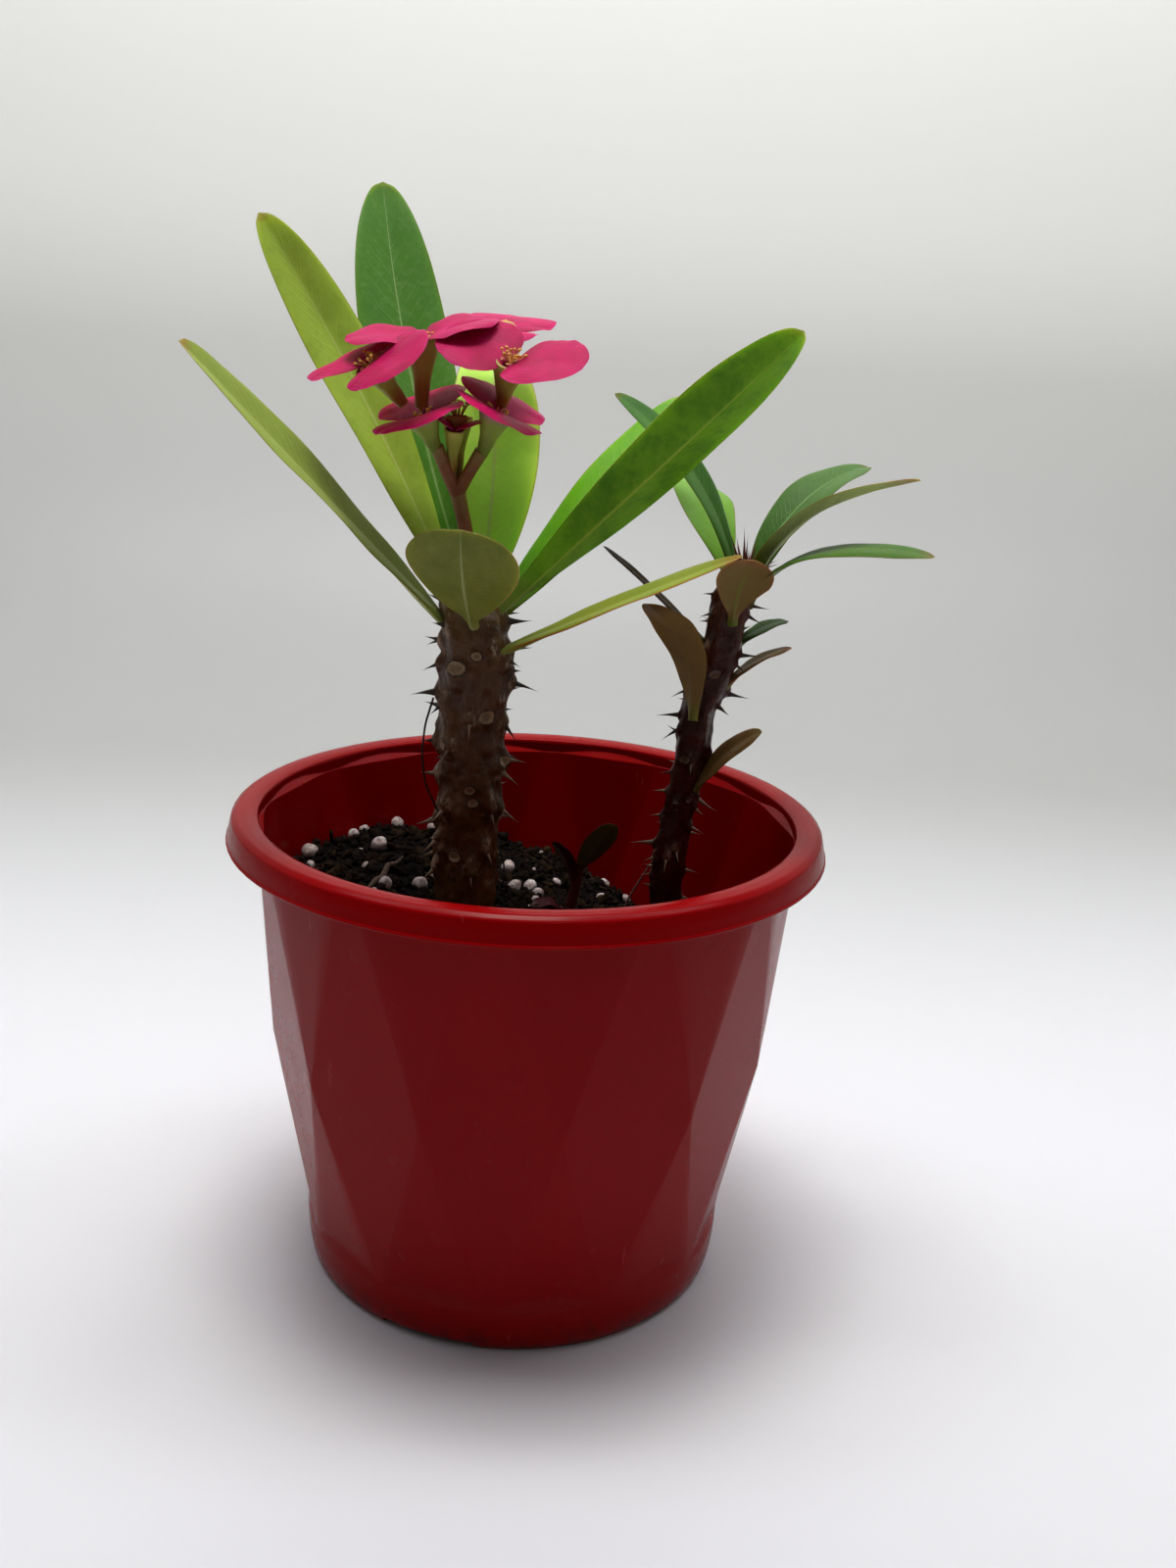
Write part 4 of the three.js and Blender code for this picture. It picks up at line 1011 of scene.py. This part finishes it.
# a leaf's usual colours, then how wide and how strong its midrib, veins, margin, tip and blotches are, and
# how rough, translucent and shiny it is
leafLook = {"upper": "#5f8f34", "lower": "#7c9a4e", "rib": "#a9bd72", "margin": "#6b4a2a", "tip": "#6b4a2a",
            "base": "#8fa050", "blotch": "#3f6a24", "ribWidth": 0.1, "ribShare": 0.75, "veins": 0.12,
            "marginWidth": 0.05, "marginShare": 0.7, "tipFrom": 0.95, "tipShare": 0.6, "gloss": 0.44,
            "blotchShare": 0.35, "spots": 0.0, "light": 0.6, "shine": 0.2}


def leafFinish(name, own):
    look = {**leafLook, **own}
    skin = Finish(name, Subsurface_Weight=look["light"], Subsurface_Scale=0.0008,
                  Subsurface_Radius=(1.0, 1.0, 0.5), Specular_IOR_Level=look["shine"])
    along, across, upper = (skin.attribute(key) for key in ("along", "across", "upper"))
    off = skin.math("ABSOLUTE", across)
    broad = skin.clouds(9.0, 3.0, 0.6)
    fine = skin.clouds(1.6, 4.0, 0.65)
    skin.base(skin.step(upper, 0.35, 0.65), look["lower"], look["upper"])
    skin.coat(skin.step(broad, 0.42, 0.72, 0.0, look["blotchShare"]), look["blotch"])
    skin.coat(skin.step(fine, 0.45, 0.75, 0.0, 0.16), look["rib"])
    patches = skin.step(skin.clouds(4.0, 5.0, 0.7), 0.5, 0.68, 0.0, 0.7 * look["blotchShare"])
    skin.coat(patches, look["blotch"])
    # side veins: slanting lines that run from the midrib out and forwards
    slant = skin.minus(skin.times(along, 26.0), skin.times(off, 3.4))
    slant = skin.plus(slant, skin.times(broad, 1.2))
    line = skin.step(skin.math("PINGPONG", slant, 0.5), 0.12, 0.0)
    line = skin.times(line, skin.step(off, 0.97, 0.35))
    skin.coat(skin.times(line, look["veins"]), look["rib"])
    # midrib: a pale line that narrows to the tip
    width = skin.step(along, 1.0, 0.0, 0.02, look["ribWidth"])
    skin.coat(skin.step(off, width, 0.0, 0.0, look["ribShare"]), look["rib"])
    # the margin and the tip, both a little ragged, and the base
    rough = skin.times(skin.minus(fine, 0.5), 0.06)
    edge = skin.plus(off, rough)
    skin.coat(skin.step(edge, 1.0 - look["marginWidth"], 0.995, 0.0, look["marginShare"]), look["margin"])
    skin.coat(skin.step(skin.plus(along, rough), look["tipFrom"], 1.0, 0.0, look["tipShare"]), look["tip"])
    skin.coat(skin.step(along, 0.16, 0.0, 0.0, 0.85), look["base"])
    if look["spots"]:
        near, kind = skin.cells(17.0)
        dot = skin.times(skin.step(near, 0.05, 0.03), skin.step(kind[0], 0.55, 0.57))
        skin.coat(skin.times(dot, look["spots"]), "#2b3016")
    gloss = skin.step(fine, 0.3, 0.7, look["gloss"] - 0.06, look["gloss"] + 0.1)
    relief = skin.plus(skin.times(line, 0.35), skin.times(broad, 0.6))
    return skin.finished(Roughness=gloss, Normal=skin.bump(relief, 0.12, skin.bump(fine, 0.05)))


# leaves: base and tip of the midrib, how far its middle arches up and sways sideways, the blade's
# full width, where it is widest, its turn about the midrib, its V fold, and its look
leaves = {
    "leaf_far_left": dict(
        base=(-20.4, -7.1, 157.6), tip=(-70.4, -39.4, 216.3), arch=-0.9, sway=2.9, width=18.6, turn=30,
        slot="lime_leaf", look=dict(upper="#8c9e40", lower="#a8b660", rib="#c4cc88", margin="#7a4a30",
        tip="#9a5a40", blotch="#7d9438")),
    "leaf_tall_left": dict(
        base=(-19.2, -6.5, 163.5), tip=(-64.2, 11.3, 242.5), arch=-5.7, sway=6.9, width=16.9, widest=0.64,
        turn=28, slot="lime_leaf", look=dict(upper="#a2ba46", lower="#a4bc4a", rib="#bcc878",
        margin="#6f6a34", tip="#8a5436", blotch="#7d9636", tipFrom=0.97)),
    "leaf_tall_back": dict(
        base=(-15.8, -0.6, 163), tip=(-41.4, 49.5, 252.8), arch=-0.4, sway=-2.7, width=21.1, turn=13,
        slot="green_leaf", look=dict(upper="#4f8220", lower="#588426", rib="#96b070", margin="#2c5014",
        tip="#3a601c", blotch="#42761e", ribWidth=0.07, veins=0.08, light=0.55)),
    "leaf_lime_back": dict(
        base=(-13.6, -1.2, 161.6), tip=(-14.3, 30, 217.1), arch=9, sway=1.6, width=20.5, turn=-6,
        slot="lime_leaf", look=dict(upper="#c4ee68", lower="#c8ee70", rib="#c4d888", margin="#8a6a3a",
        tip="#8a6a3a", blotch="#a8dc50", spots=0.8, light=1.0)),
    "leaf_big_right": dict(
        base=(-8.6, -7.5, 161), tip=(52.2, -17.2, 224.1), arch=4.1, sway=-2.9, width=16.9, widest=0.64,
        turn=60, fold=24, slot="green_leaf", look=dict(upper="#76b41c", lower="#80b624", rib="#b8cc50",
        margin="#4a5420", tip="#4a6a1c", blotch="#45801a", blotchShare=0.6, ribWidth=0.13, spots=0.9,
        light=0.4)),
    "leaf_behind_right": dict(
        base=(-9, -3.2, 158.6), tip=(32.7, 23.8, 208), arch=1.2, sway=2.4, width=18.1, turn=-12,
        slot="green_leaf", look=dict(upper="#70ae18", lower="#80b022", rib="#a9bc58", blotch="#568c1e")),
    "leaf_front": dict(
        base=(-13.7, -12.6, 158.6), tip=(-16.4, -29.5, 181.8), arch=-3, sway=-0.2, width=24.7, widest=0.74,
        turn=7, fold=3, slot="green_leaf", look=dict(upper="#7a8c3a", lower="#8a9040", rib="#b4bc84",
        margin="#8a4a3a", tip="#7a4a38", blotch="#64722e", ribShare=0.9, tipFrom=0.975, base="#a8b068")),
    "leaf_low_right": dict(
        base=(-8.4, -9.8, 152), tip=(43.2, -18.7, 177.6), arch=0.6, sway=0.7, width=9, turn=-13,
        slot="lime_leaf", look=dict(upper="#8e9c30", lower="#96a034", rib="#b0b04a", margin="#a0532c",
        tip="#a0532c", blotch="#86982a", blotchShare=0.8, marginWidth=0.16, marginShare=0.85,
        tipFrom=0.86)),
    "crown_leaf_left": dict(
        base=(44.8, 7.8, 167.6), tip=(14.9, 4.8, 208.7), arch=6.3, sway=-0.4, width=10, turn=36,
        slot="bluish_leaf", look=dict(upper="#4a7830", lower="#5a8636", rib="#7f9a60", blotch="#30582a",
        base="#7f9644")),
    "crown_leaf_back": dict(
        base=(46.4, 9.2, 164), tip=(37.8, 38.5, 187.1), arch=5.7, sway=-5, width=16, widest=0.7, turn=-13,
        fold=3, slot="lime_leaf", look=dict(upper="#6c9830", lower="#789c3c", rib="#b0c67a",
        blotch="#6c9c28")),
    "crown_leaf_right": dict(
        base=(49, 7.6, 166.6), tip=(76, 19.7, 194.3), arch=6.9, sway=0.8, width=13.9, turn=-8,
        slot="bluish_leaf", look=dict(upper="#4b702c", lower="#628036", rib="#86a86a", margin="#5a3a30",
        blotch="#3e6226")),
    "crown_leaf_long": dict(
        base=(48.6, 5.2, 165), tip=(81.2, -11.3, 194.6), arch=4.8, sway=11, width=10.5, turn=9, fold=11,
        slot="green_leaf", look=dict(upper="#84923c", lower="#98a644", rib="#9aa058", margin="#8a5a34",
        tip="#8a4a34", marginWidth=0.06, blotch="#5f6e2c", tipFrom=0.8)),
    "crown_leaf_drooping": dict(
        base=(48.6, 6, 162.6), tip=(83.6, -21.3, 179.8), arch=8.5, sway=8.6, width=11.6, turn=-10, fold=4,
        slot="green_leaf", look=dict(upper="#486c18", lower="#44601e", rib="#8aa05a", margin="#6a4030",
        tip="#7a5034", blotch="#3c6a22", blotchShare=0.6, tipFrom=0.93, base="#5a4a30")),
    "round_leaf": dict(
        base=(44.6, 1.6, 159.2), tip=(46.2, -14.8, 176.4), arch=0.6, sway=0.9, width=12.4, widest=0.74,
        turn=7, fold=-8, slot="brown_leaf", look=dict(upper="#8c7c4a", lower="#8a7648", rib="#82903e",
        margin="#96684a", tip="#a0684e", blotch="#80582f", base="#5f7a28", tipFrom=0.84, marginWidth=0.2,
        ribWidth=0.2, light=0.4)),
    "brown_leaf": dict(
        base=(37, 0.6, 136), tip=(24.4, -5, 164), arch=5.9, sway=0.2, width=13, widest=0.66, turn=-21,
        fold=7, slot="brown_leaf", look=dict(upper="#967a48", lower="#9e8250", rib="#9c9460",
        margin="#4a2c20", tip="#46291f", blotch="#7a6648", base="#84883c", ribWidth=0.16, ribShare=0.5,
        tipFrom=0.8, light=0.4)),
    "thin_leaf": dict(
        base=(40, 7.2, 152), tip=(14.4, 10.3, 174.1), arch=0.6, sway=0.2, width=7, turn=1,
        slot="brown_leaf", look=dict(upper="#3a2a10", lower="#3c2a10", rib="#5a4a2a", margin="#4a3020",
        tip="#2f1f18", blotch="#2e2016", base="#5a5a30", tipFrom=0.7, light=0.3, shine=0.05)),
    "small_green_leaf": dict(
        base=(47, 7.6, 153), tip=(58.5, 10.6, 158.7), arch=1.2, sway=0.9, width=7, turn=-2,
        slot="green_leaf", look=dict(upper="#3a5c0c", lower="#4a6a12", rib="#7d9a5a", tip="#6a5040",
        tipFrom=0.84)),
    "small_brown_leaf": dict(
        base=(44.4, 5, 143), tip=(59.7, 6.5, 153), arch=1.5, sway=-0.7, width=5.3, turn=-4,
        slot="brown_leaf", look=dict(upper="#8c7244", lower="#9c7450", rib="#7f7a46", margin="#7a3a2c",
        tip="#8a3a2e", blotch="#5a4030", base="#7a8040", tipFrom=0.82, marginWidth=0.2)),
    "low_leaf": dict(
        base=(39.2, 3.8, 118), tip=(53.3, -0.4, 134.4), arch=1.4, sway=-0.9, width=7.2, turn=-31,
        slot="brown_leaf", look=dict(upper="#90703c", lower="#845432", rib="#857444", margin="#6a4430",
        tip="#6f6a44", blotch="#6a4a30", tipFrom=0.86, base="#76703c", light=0.4)),
    "sprout_leaf_green": dict(
        base=(13.2, 12.6, 94.4), tip=(20.9, 8.9, 107), arch=-0.3, sway=0.3, width=7.7, turn=44,
        slot="bluish_leaf", look=dict(upper="#5a5a26", lower="#5c5428", rib="#565634", margin="#5a2a24",
        tip="#5a2a24", blotch="#26321c", base="#4f2a22", marginWidth=0.14, light=0.1)),
    "sprout_leaf_red": dict(
        base=(12, 13.2, 90), tip=(6.3, 7.3, 102.6), arch=0.7, sway=-0.4, width=5.1, turn=-9,
        slot="red_leaf", look=dict(upper="#4a1416", lower="#521619", rib="#642426", margin="#5f1a1c",
        tip="#4f1416", blotch="#381012", base="#4f1d1c", light=0.3)),
}


def makeLeaves():
    for number, (name, leaf) in enumerate(leaves.items()):
        small = min(1.0, leaf["width"] / 16)
        spec = {"seed": number, "wave": 0.22 * small, "ridge": 0.35 * small, **leaf}
        finish = leafFinish(name + "_skin", leaf["look"])
        makePiece(name + "_blade", bladeSurface(spec), finish, [name])
    print("leaves made:", len(leaves))


makeLeaves()


# the flowers

stalk = {  # x, y, z and radius along each branch
    "main": [(-15.2, -6, 163, 1.75), (-15.6, -6, 174.6, 1.55), (-17.4, -7.4, 182.5, 1.55),
             (-18.8, -8, 188.4, 1.9)],
    "left": [(-18.5, -8, 186.6, 1.6), (-20.8, -9.4, 191.5, 1.45), (-23, -11, 196.6, 1.5)],
    "right": [(-18.7, -8, 186.6, 1.6), (-16.2, -9.6, 191, 1.4), (-13.4, -11, 196.1, 1.5)],
}

# flowers: the cup's foot and top, the axis its bracts spread about, the rim's radius, the first
# bract's azimuth about the axis, how far each bract lifts, and how far it rolls about its own line
flowers = {
    "a": dict(foot=(-23.2, -11.1, 196.2), top=(-26, -12, 202.7), axis=(-0.33, -0.1, 0.94), rim=3.4,
              spin=-89, lift=(2, 8)),
    "b": dict(foot=(-13.2, -11.1, 195.8), top=(-10.4, -12, 204.2), axis=(0.42, -0.12, 0.9), rim=3.3,
              spin=-92, lift=(6, 6)),
    "c": dict(foot=(-30.3, -13.4, 205.6), top=(-36.6, -16.6, 213.2), axis=(-0.51, -0.36, 0.78), rim=3.3,
              spin=136, lift=(-2, 1), roll=(-13, 0)),
    "d": dict(foot=(-26.4, -10.4, 205), top=(-26.4, -8.6, 218.6), axis=(-0.02, -0.17, 0.98), rim=3.2,
              spin=186, lift=(-2, 14)),
    "e": dict(foot=(-9.3, -14, 206.6), top=(-7.4, -18, 215), axis=(-0.04, -0.47, 0.88), rim=3.5, spin=150,
              lift=(8, 11)),
    "f": dict(foot=(-9.4, -8.6, 207), top=(-10.4, 4, 220.4), axis=(0.06, 0, 1), rim=3.3, spin=75,
              lift=(12, -8)),
    "bud": dict(foot=(-20, -8.6, 190.6), top=(-19.2, -11, 200.2), axis=(0.06, -0.14, 0.99), rim=1.9,
                spin=176, lift=(30, 22), length=5.0, width=4.6),
}
# the cup without bracts, and the shape that every bract starts from
oldCup = {"foot": (-18.9, -7, 190.4), "top": (-19, -6, 202.6), "rim": 2.9}
bract = {"length": 13.2, "width": 19.6, "start": 0.25, "widest": 0.42, "tipPower": 0.44, "blade": 0.42,
         "stalk": 0.5, "arch": 0.9, "fold": 5, "ridge": 0.12, "wave": 0.3, "waves": 1.3, "curl": 0.6,
         "around": 27, "steps": 56}
# how many filaments a flower has and how tall they are, "rest" for the others
hearts = {"c": (9, 1.7), "e": (18, 2.1), "rest": (8, 1.2)}
# a cup's colours from its foot up, and inside; "rest" for the others
cupLooks = {
    "a": ("#7f8e34", "#9cac50", "#b88a90", "#9a1a40"), "b": ("#7f8e34", "#9cac50", "#b88a90", "#9a1a40"),
    "d": ("#9c6a28", "#ae8a38", "#b0a848", "#9a1a40"), "old": ("#8a6a30", "#a09a40", "#c0a048", "#a06a2a"),
    "rest": ("#a07830", "#aeac50", "#bcc060", "#9a1a40"),
}


# a round path: circles of the path's own radius, set square to it
def roundPath(stations, rings, sides, soften=0.12, wobble=0.0, seed=0):
    stations = np.array(stations, float)
    share = np.linspace(0, 1, rings)
    line = softRows(share, np.linspace(0, 1, len(stations)), stations, soften)
    middle, radius = line[:, None, :3], line[:, 3, None, None]
    way = unit(np.gradient(line[:, :3], axis=0))
    side = unit(np.cross(way, [0.31, 0.83, 0.21]))
    above = np.cross(side, way)
    turn = turns(sides)[None, :, None]
    ring = side[:, None] * np.cos(turn) + above[:, None] * np.sin(turn)
    if wobble:
        radius = radius * (1 + wobble * latticeNoise(middle + ring * radius, 1.6, seed))[..., None]
    return tube(middle + ring * radius, rise=share[:, None])


# a funnel turned about the line from foot to top: its radius against height, with faint ribs, a
# rolled lip and a shallow well
def cupSurface(foot, top, rim, neck=1.35, well=1.6, ribs=5):
    foot, axis = np.array(foot, float), np.array(top, float) - np.array(foot, float)
    height = np.linalg.norm(axis)
    axis = axis / height
    side = unit(np.cross(axis, [0.2, 1.0, 0.1]))
    above = np.cross(axis, side)
    outline = [(neck * 0.9, -0.6), (neck * 0.95, 0.0), (neck * 1.2, 0.2 * height),
               (rim * 0.56, 0.4 * height), (rim * 0.76, 0.6 * height), (rim * 0.98, 0.8 * height),
               (rim * 1.12, 0.93 * height),
               (rim * 1.14, height), (rim * 1.04, height + 0.22), (rim - 0.5, height + 0.1),
               (rim - 1.0, height - 0.5 * well), (0.7, height - well), (0.25, height - well)]
    share = np.linspace(0, 1, 64)
    line = softRows(share, np.linspace(0, 1, len(outline)), outline, 0.05)
    turn = turns(40)
    out = line[:, :1] * (1 + 0.035 * np.cos(ribs * turn)[None] * smoothStep(0.1, 0.5, share)[:, None])
    ring = side * np.cos(turn)[:, None] + above * np.sin(turn)[:, None]
    points = foot + out[..., None] * ring[None] + axis * line[:, 1][:, None, None]
    inside = smoothStep(0.6, 0.72, share)[:, None]
    return tube(points, rise=np.clip(line[:, 1:] / height, 0, 1), inside=inside)


# the line that a bract's blade is built on: out from the rim, turned about the axis, and lifted
def bractBlade(flower, side, seed):
    axis = unit(flower["axis"])
    east = unit(np.array([1.0, 0, 0]) - axis[0] * axis)
    turn = np.radians(flower["spin"] + 180 * side)
    out = east * np.cos(turn) + np.cross(axis, east) * np.sin(turn)
    lift = np.radians(flower["lift"][side])
    away = out * np.cos(lift) + axis * np.sin(lift)
    top, rim = np.array(flower["top"], float), flower["rim"]
    length = flower.get("length", bract["length"])
    size = length / bract["length"]
    return {**bract, "base": top + away * rim * bract["start"], "tip": top + away * (rim + length),
            "turn": flower.get("roll", (0, 0))[side], "up": tuple(axis), "stalkHalf": rim * 0.82,
            "width": flower.get("width", bract["width"]), "wave": bract["wave"] * size,
            "curl": bract["curl"] * size, "arch": bract["arch"] * size, "seed": seed}


def bractFinish():
    pink = Finish("bractSkin", Roughness=0.5, Subsurface_Weight=0.9, Subsurface_Scale=0.0012,
                  Subsurface_Radius=(1.0, 0.3, 0.6), Specular_IOR_Level=0.14)
    along, across, upper = (pink.attribute(key) for key in ("along", "across", "upper"))
    broad = pink.clouds(6.0)
    top = pink.mix(pink.step(broad, 0.35, 0.7), "#b80c5c", "#a40a4c")
    under = pink.mix(pink.step(along, 0.0, 0.6), "#b8609a", "#c01058")
    pink.base(pink.step(upper, 0.35, 0.65), under, top)
    # fine veins that fan out from the base: lines of constant place across
    fan = pink.math("PINGPONG", pink.plus(pink.times(across, 9.0), pink.times(broad, 0.8)), 0.5)
    vein = pink.times(pink.step(fan, 0.14, 0.0), pink.step(along, 0.95, 0.3))
    pink.coat(pink.times(vein, 0.22), "#980a3c")
    pink.coat(pink.step(along, 0.22, 0.0, 0.0, 0.55), "#8a0f38")
    pink.coat(pink.step(pink.math("ABSOLUTE", across), 0.9, 1.0, 0.0, 0.35), "#d22a6c")
    relief = pink.plus(pink.times(vein, -0.25), pink.times(broad, 0.8))
    return pink.finished(Normal=pink.bump(relief, 0.2, pink.bump(pink.clouds(0.9), 0.04)))


def cupFinish(name, low, middle, high, inner):
    flesh = Finish(name, Roughness=0.42, Subsurface_Weight=0.4, Subsurface_Scale=0.0015,
                   Specular_IOR_Level=0.3)
    broad = flesh.clouds(3.5)
    climb = flesh.plus(flesh.attribute("rise"), flesh.times(flesh.minus(broad, 0.5), 0.3))
    flesh.base(flesh.step(climb, 0.1, 0.5), low, middle)
    flesh.coat(flesh.step(climb, 0.72, 1.0), high)
    flesh.coat(flesh.attribute("inside"), inner)
    return flesh.finished(Normal=flesh.bump(flesh.clouds(0.7), 0.05, flesh.bump(broad, 0.1)))


def stalkFinish():
    brown = Finish("stalkSkin", Roughness=0.42)
    brown.base(brown.step(brown.clouds(4.0), 0.3, 0.7), "#8a4a30", "#9a643c")
    brown.coat(brown.step(brown.attribute("rise"), 0.55, 1.0, 0.0, 0.6), "#948a48")
    return brown.finished(Normal=brown.bump(brown.clouds(0.8), 0.08))


def plainFinish(name, first, second, size, gloss, bump, **settings):
    plain = Finish(name, Roughness=gloss, **settings)
    grain = plain.clouds(size, 4.0, 0.65)
    plain.base(plain.step(grain, 0.3, 0.7), first, second)
    return plain.finished(Normal=plain.bump(grain, bump))


# the middle of a flower: a ring of five fleshy glands round a cluster of filaments with knobs
def heartParts(flower, count, height, splay, seed):
    rng = np.random.default_rng(seed)
    foot, top = np.array(flower["foot"], float), np.array(flower["top"], float)
    axis = unit(top - foot)
    side = unit(np.cross(axis, [0.2, 1.0, 0.1]))
    above = np.cross(axis, side)

    def around(turn, out, up):
        ring = side * np.cos(turn)[..., None] + above * np.sin(turn)[..., None]
        return top + ring * np.asarray(out)[..., None] + axis * np.asarray(up)[..., None]

    filaments = []
    s = np.linspace(0, 1, 4)
    knob, knobFaces = ballShape(1)
    for k in range(count):
        turn = np.full(4, 2.4 * k + rng.uniform(-0.2, 0.2))
        tall = height * rng.uniform(0.7, 1.15)
        path = around(turn, 0.35 + splay * s ** 1.4 * rng.uniform(0.5, 1.2), -1.3 + (tall + 1.3) * s)
        filaments.append(roundPath(np.column_stack([path, [0.2, 0.17, 0.15, 0.12]]), 8, 6, 0.08))
        knobPoints = knob * [0.36, 0.36, 0.3] + path[-1]
        filaments.append(triangleShape(knobPoints, knobFaces, rise=np.ones(len(knob))))
    glands = []
    ball, faces = ballShape(2)
    for k in range(5):
        turn = np.array(2 * np.pi * k / 5 + 0.3)
        tangent = -side * np.sin(turn) + above * np.cos(turn)
        outward = side * np.cos(turn) + above * np.sin(turn)
        turned = ball[:, :1] * 0.95 * tangent + ball[:, 1:2] * 0.55 * outward + ball[:, 2:] * 0.35 * axis
        centre = around(turn, flower["rim"] * 0.62, 0.15)
        glands.append(triangleShape(turned + centre, faces, rise=np.zeros(len(ball))))
    return joined(filaments), joined(glands)


def makeFlowers():
    lines = [roundPath(stalk[key], 46, 24, 0.1, 0.04, 5) for key in ("main", "left", "right")]
    makePiece("forked_stalk", joined(lines), stalkFinish(), ["flower_stalk"])
    skins = {key: cupFinish("cupSkin_" + key, *look) for key, look in cupLooks.items()}
    petal = bractFinish()
    gold = plainFinish("stamenGold", "#d98a24", "#f0c04a", 0.8, 0.5, 0.05, Subsurface_Weight=0.2)
    gland = plainFinish("glandSkin", "#b01a40", "#d08a3a", 1.5, 0.35, 0.05)
    for number, (key, flower) in enumerate(flowers.items()):
        cup = cupSurface(flower["foot"], flower["top"], flower["rim"], neck=1.1 if key == "bud" else 1.35)
        makePiece("funnel_" + key, cup, skins.get(key, skins["rest"]), ["cup_" + key])
        for side in (0, 1):
            blade = bladeSurface(bractBlade(flower, side, 3 * number + side))
            makePiece(f"petal_{key}_{side + 1}", blade, petal, [f"bract_{key}_{side + 1}"])
        if key == "bud":
            continue
        filaments, glands = heartParts(flower, *hearts.get(key, hearts["rest"]), 2.1, 60 + number)
        seat = ["stamens_" + key] if key in hearts else []
        makePiece("filaments_" + key, filaments, gold, seat)
        makePiece("glands_" + key, glands, gland)
    cup = cupSurface(oldCup["foot"], oldCup["top"], oldCup["rim"], 1.3, 1.2)
    makePiece("funnel_old", cup, skins["old"], ["cup_old"])
    filaments, glands = heartParts(oldCup, 14, 3.2, 2.0, 90)
    beige = plainFinish("stamenBeige", "#b98a4a", "#e0b878", 0.8, 0.55, 0.05)
    makePiece("filaments_old", filaments, beige, ["stamens_old"])
    dull = plainFinish("oldGland", "#7a5a2a", "#9a7a3a", 1.5, 0.45, 0.05)
    makePiece("glands_old", glands, dull)
    print("flowers made:", len(flowers))


makeFlowers()


# loose things on the soil

# a straw and a fallen leaf that lie on the soil, and fibres and a twig that stand in it; the last
# three are paths of x, y, z and radius
litter = {
    "straw": {"from": (-38.1, -4.6), "to": (-31.2, 20.4), "radius": 0.62,
              "knots": (0.5, 0.9, 1.2, 1.0, 1.3, 1.0, 0.9, 0.8, 0.3)},
    "leaf": {"at": (1.3, 7.5), "length": 11.5, "heading": 30, "width": 8, "arch": 1.1, "fold": 16,
             "stalk": 1.0, "stalkHalf": 0.5, "blade": 0.35, "ridge": 0.1, "curl": -0.8, "seed": 5},
    "leafLook": {"upper": "#450a10", "lower": "#3c0a0e", "rib": "#551a1c", "margin": "#38090d",
                 "tip": "#320a0d", "base": "#3c1210", "blotch": "#320609", "light": 0.1},
    "loop": [(-22.6, -8.2, 141, 0.26), (-24.3, -9.0, 135, 0.24), (-24.9, -9.4, 128, 0.24),
             (-24.0, -9.4, 121, 0.24), (-21.0, -9.0, 114.5, 0.2)],
    "root": [(-7.6, -1.0, 105, 0.2), (-5.6, -2.6, 101, 0.2), (-5.2, -3.4, 96.5, 0.2),
             (-6.4, -1.0, 92.5, 0.2), (-4.4, 3.0, 89.5, 0.2), (-1.6, 6.0, 86.5, 0.2), (1.2, 8.4, 84.0, 0.2)],
    "twig": [(24, 24, 75.0, 0.3), (27, 27, 82, 0.3), (31, 30, 88, 0.26), (35, 34, 93, 0.2)],
}


def makeLitter():
    straw, leaf = litter["straw"], litter["leaf"]
    share = np.linspace(0, 1, len(straw["knots"]))
    x, y = (first + (last - first) * share for first, last in zip(straw["from"], straw["to"]))
    lift = 1.3 + 0.7 * np.sin(np.pi * share * 2.2) ** 2
    radius = straw["radius"] * np.array(straw["knots"])
    path = np.column_stack([x + 0.5 * np.sin(6 * share), y, soilLevel(x, y) + lift, radius])
    dry = plainFinish("dryStraw", "#33211a", "#5c4230", 1.6, 0.8, 0.25)
    makePiece("straw_twig", roundPath(path, 60, 12, 0.05, 0.16, 8), dry, ["straw"])

    way = np.radians(leaf["heading"])
    at = np.array(leaf["at"], float)
    end = at + leaf["length"] * np.array([np.cos(way), np.sin(way)])
    low, high = soilLevel(*np.array([at, end]).T)
    blade = bladeSurface({**leaf, "base": (*at, low + 1.4), "tip": (*end, high + 1.6)})
    skin = leafFinish("fallenLeafSkin", litter["leafLook"])
    makePiece("fallen_red_leaf", blade, skin, ["fallen_leaf"])

    fibres = joined([roundPath(litter["loop"], 40, 8, 0.12), roundPath(litter["root"], 50, 8, 0.1)])
    black = plainFinish("rootFibre", "#14100d", "#2a211b", 2.0, 0.7, 0.1)
    makePiece("root_fibres", fibres, black)
    red = plainFinish("redTwig", "#3a1512", "#5c2a20", 1.6, 0.8, 0.25)
    makePiece("dry_twig", roundPath(litter["twig"], 30, 10, 0.1, 0.12, 9), red)
    print("litter made")


makeLitter()

print("finished")
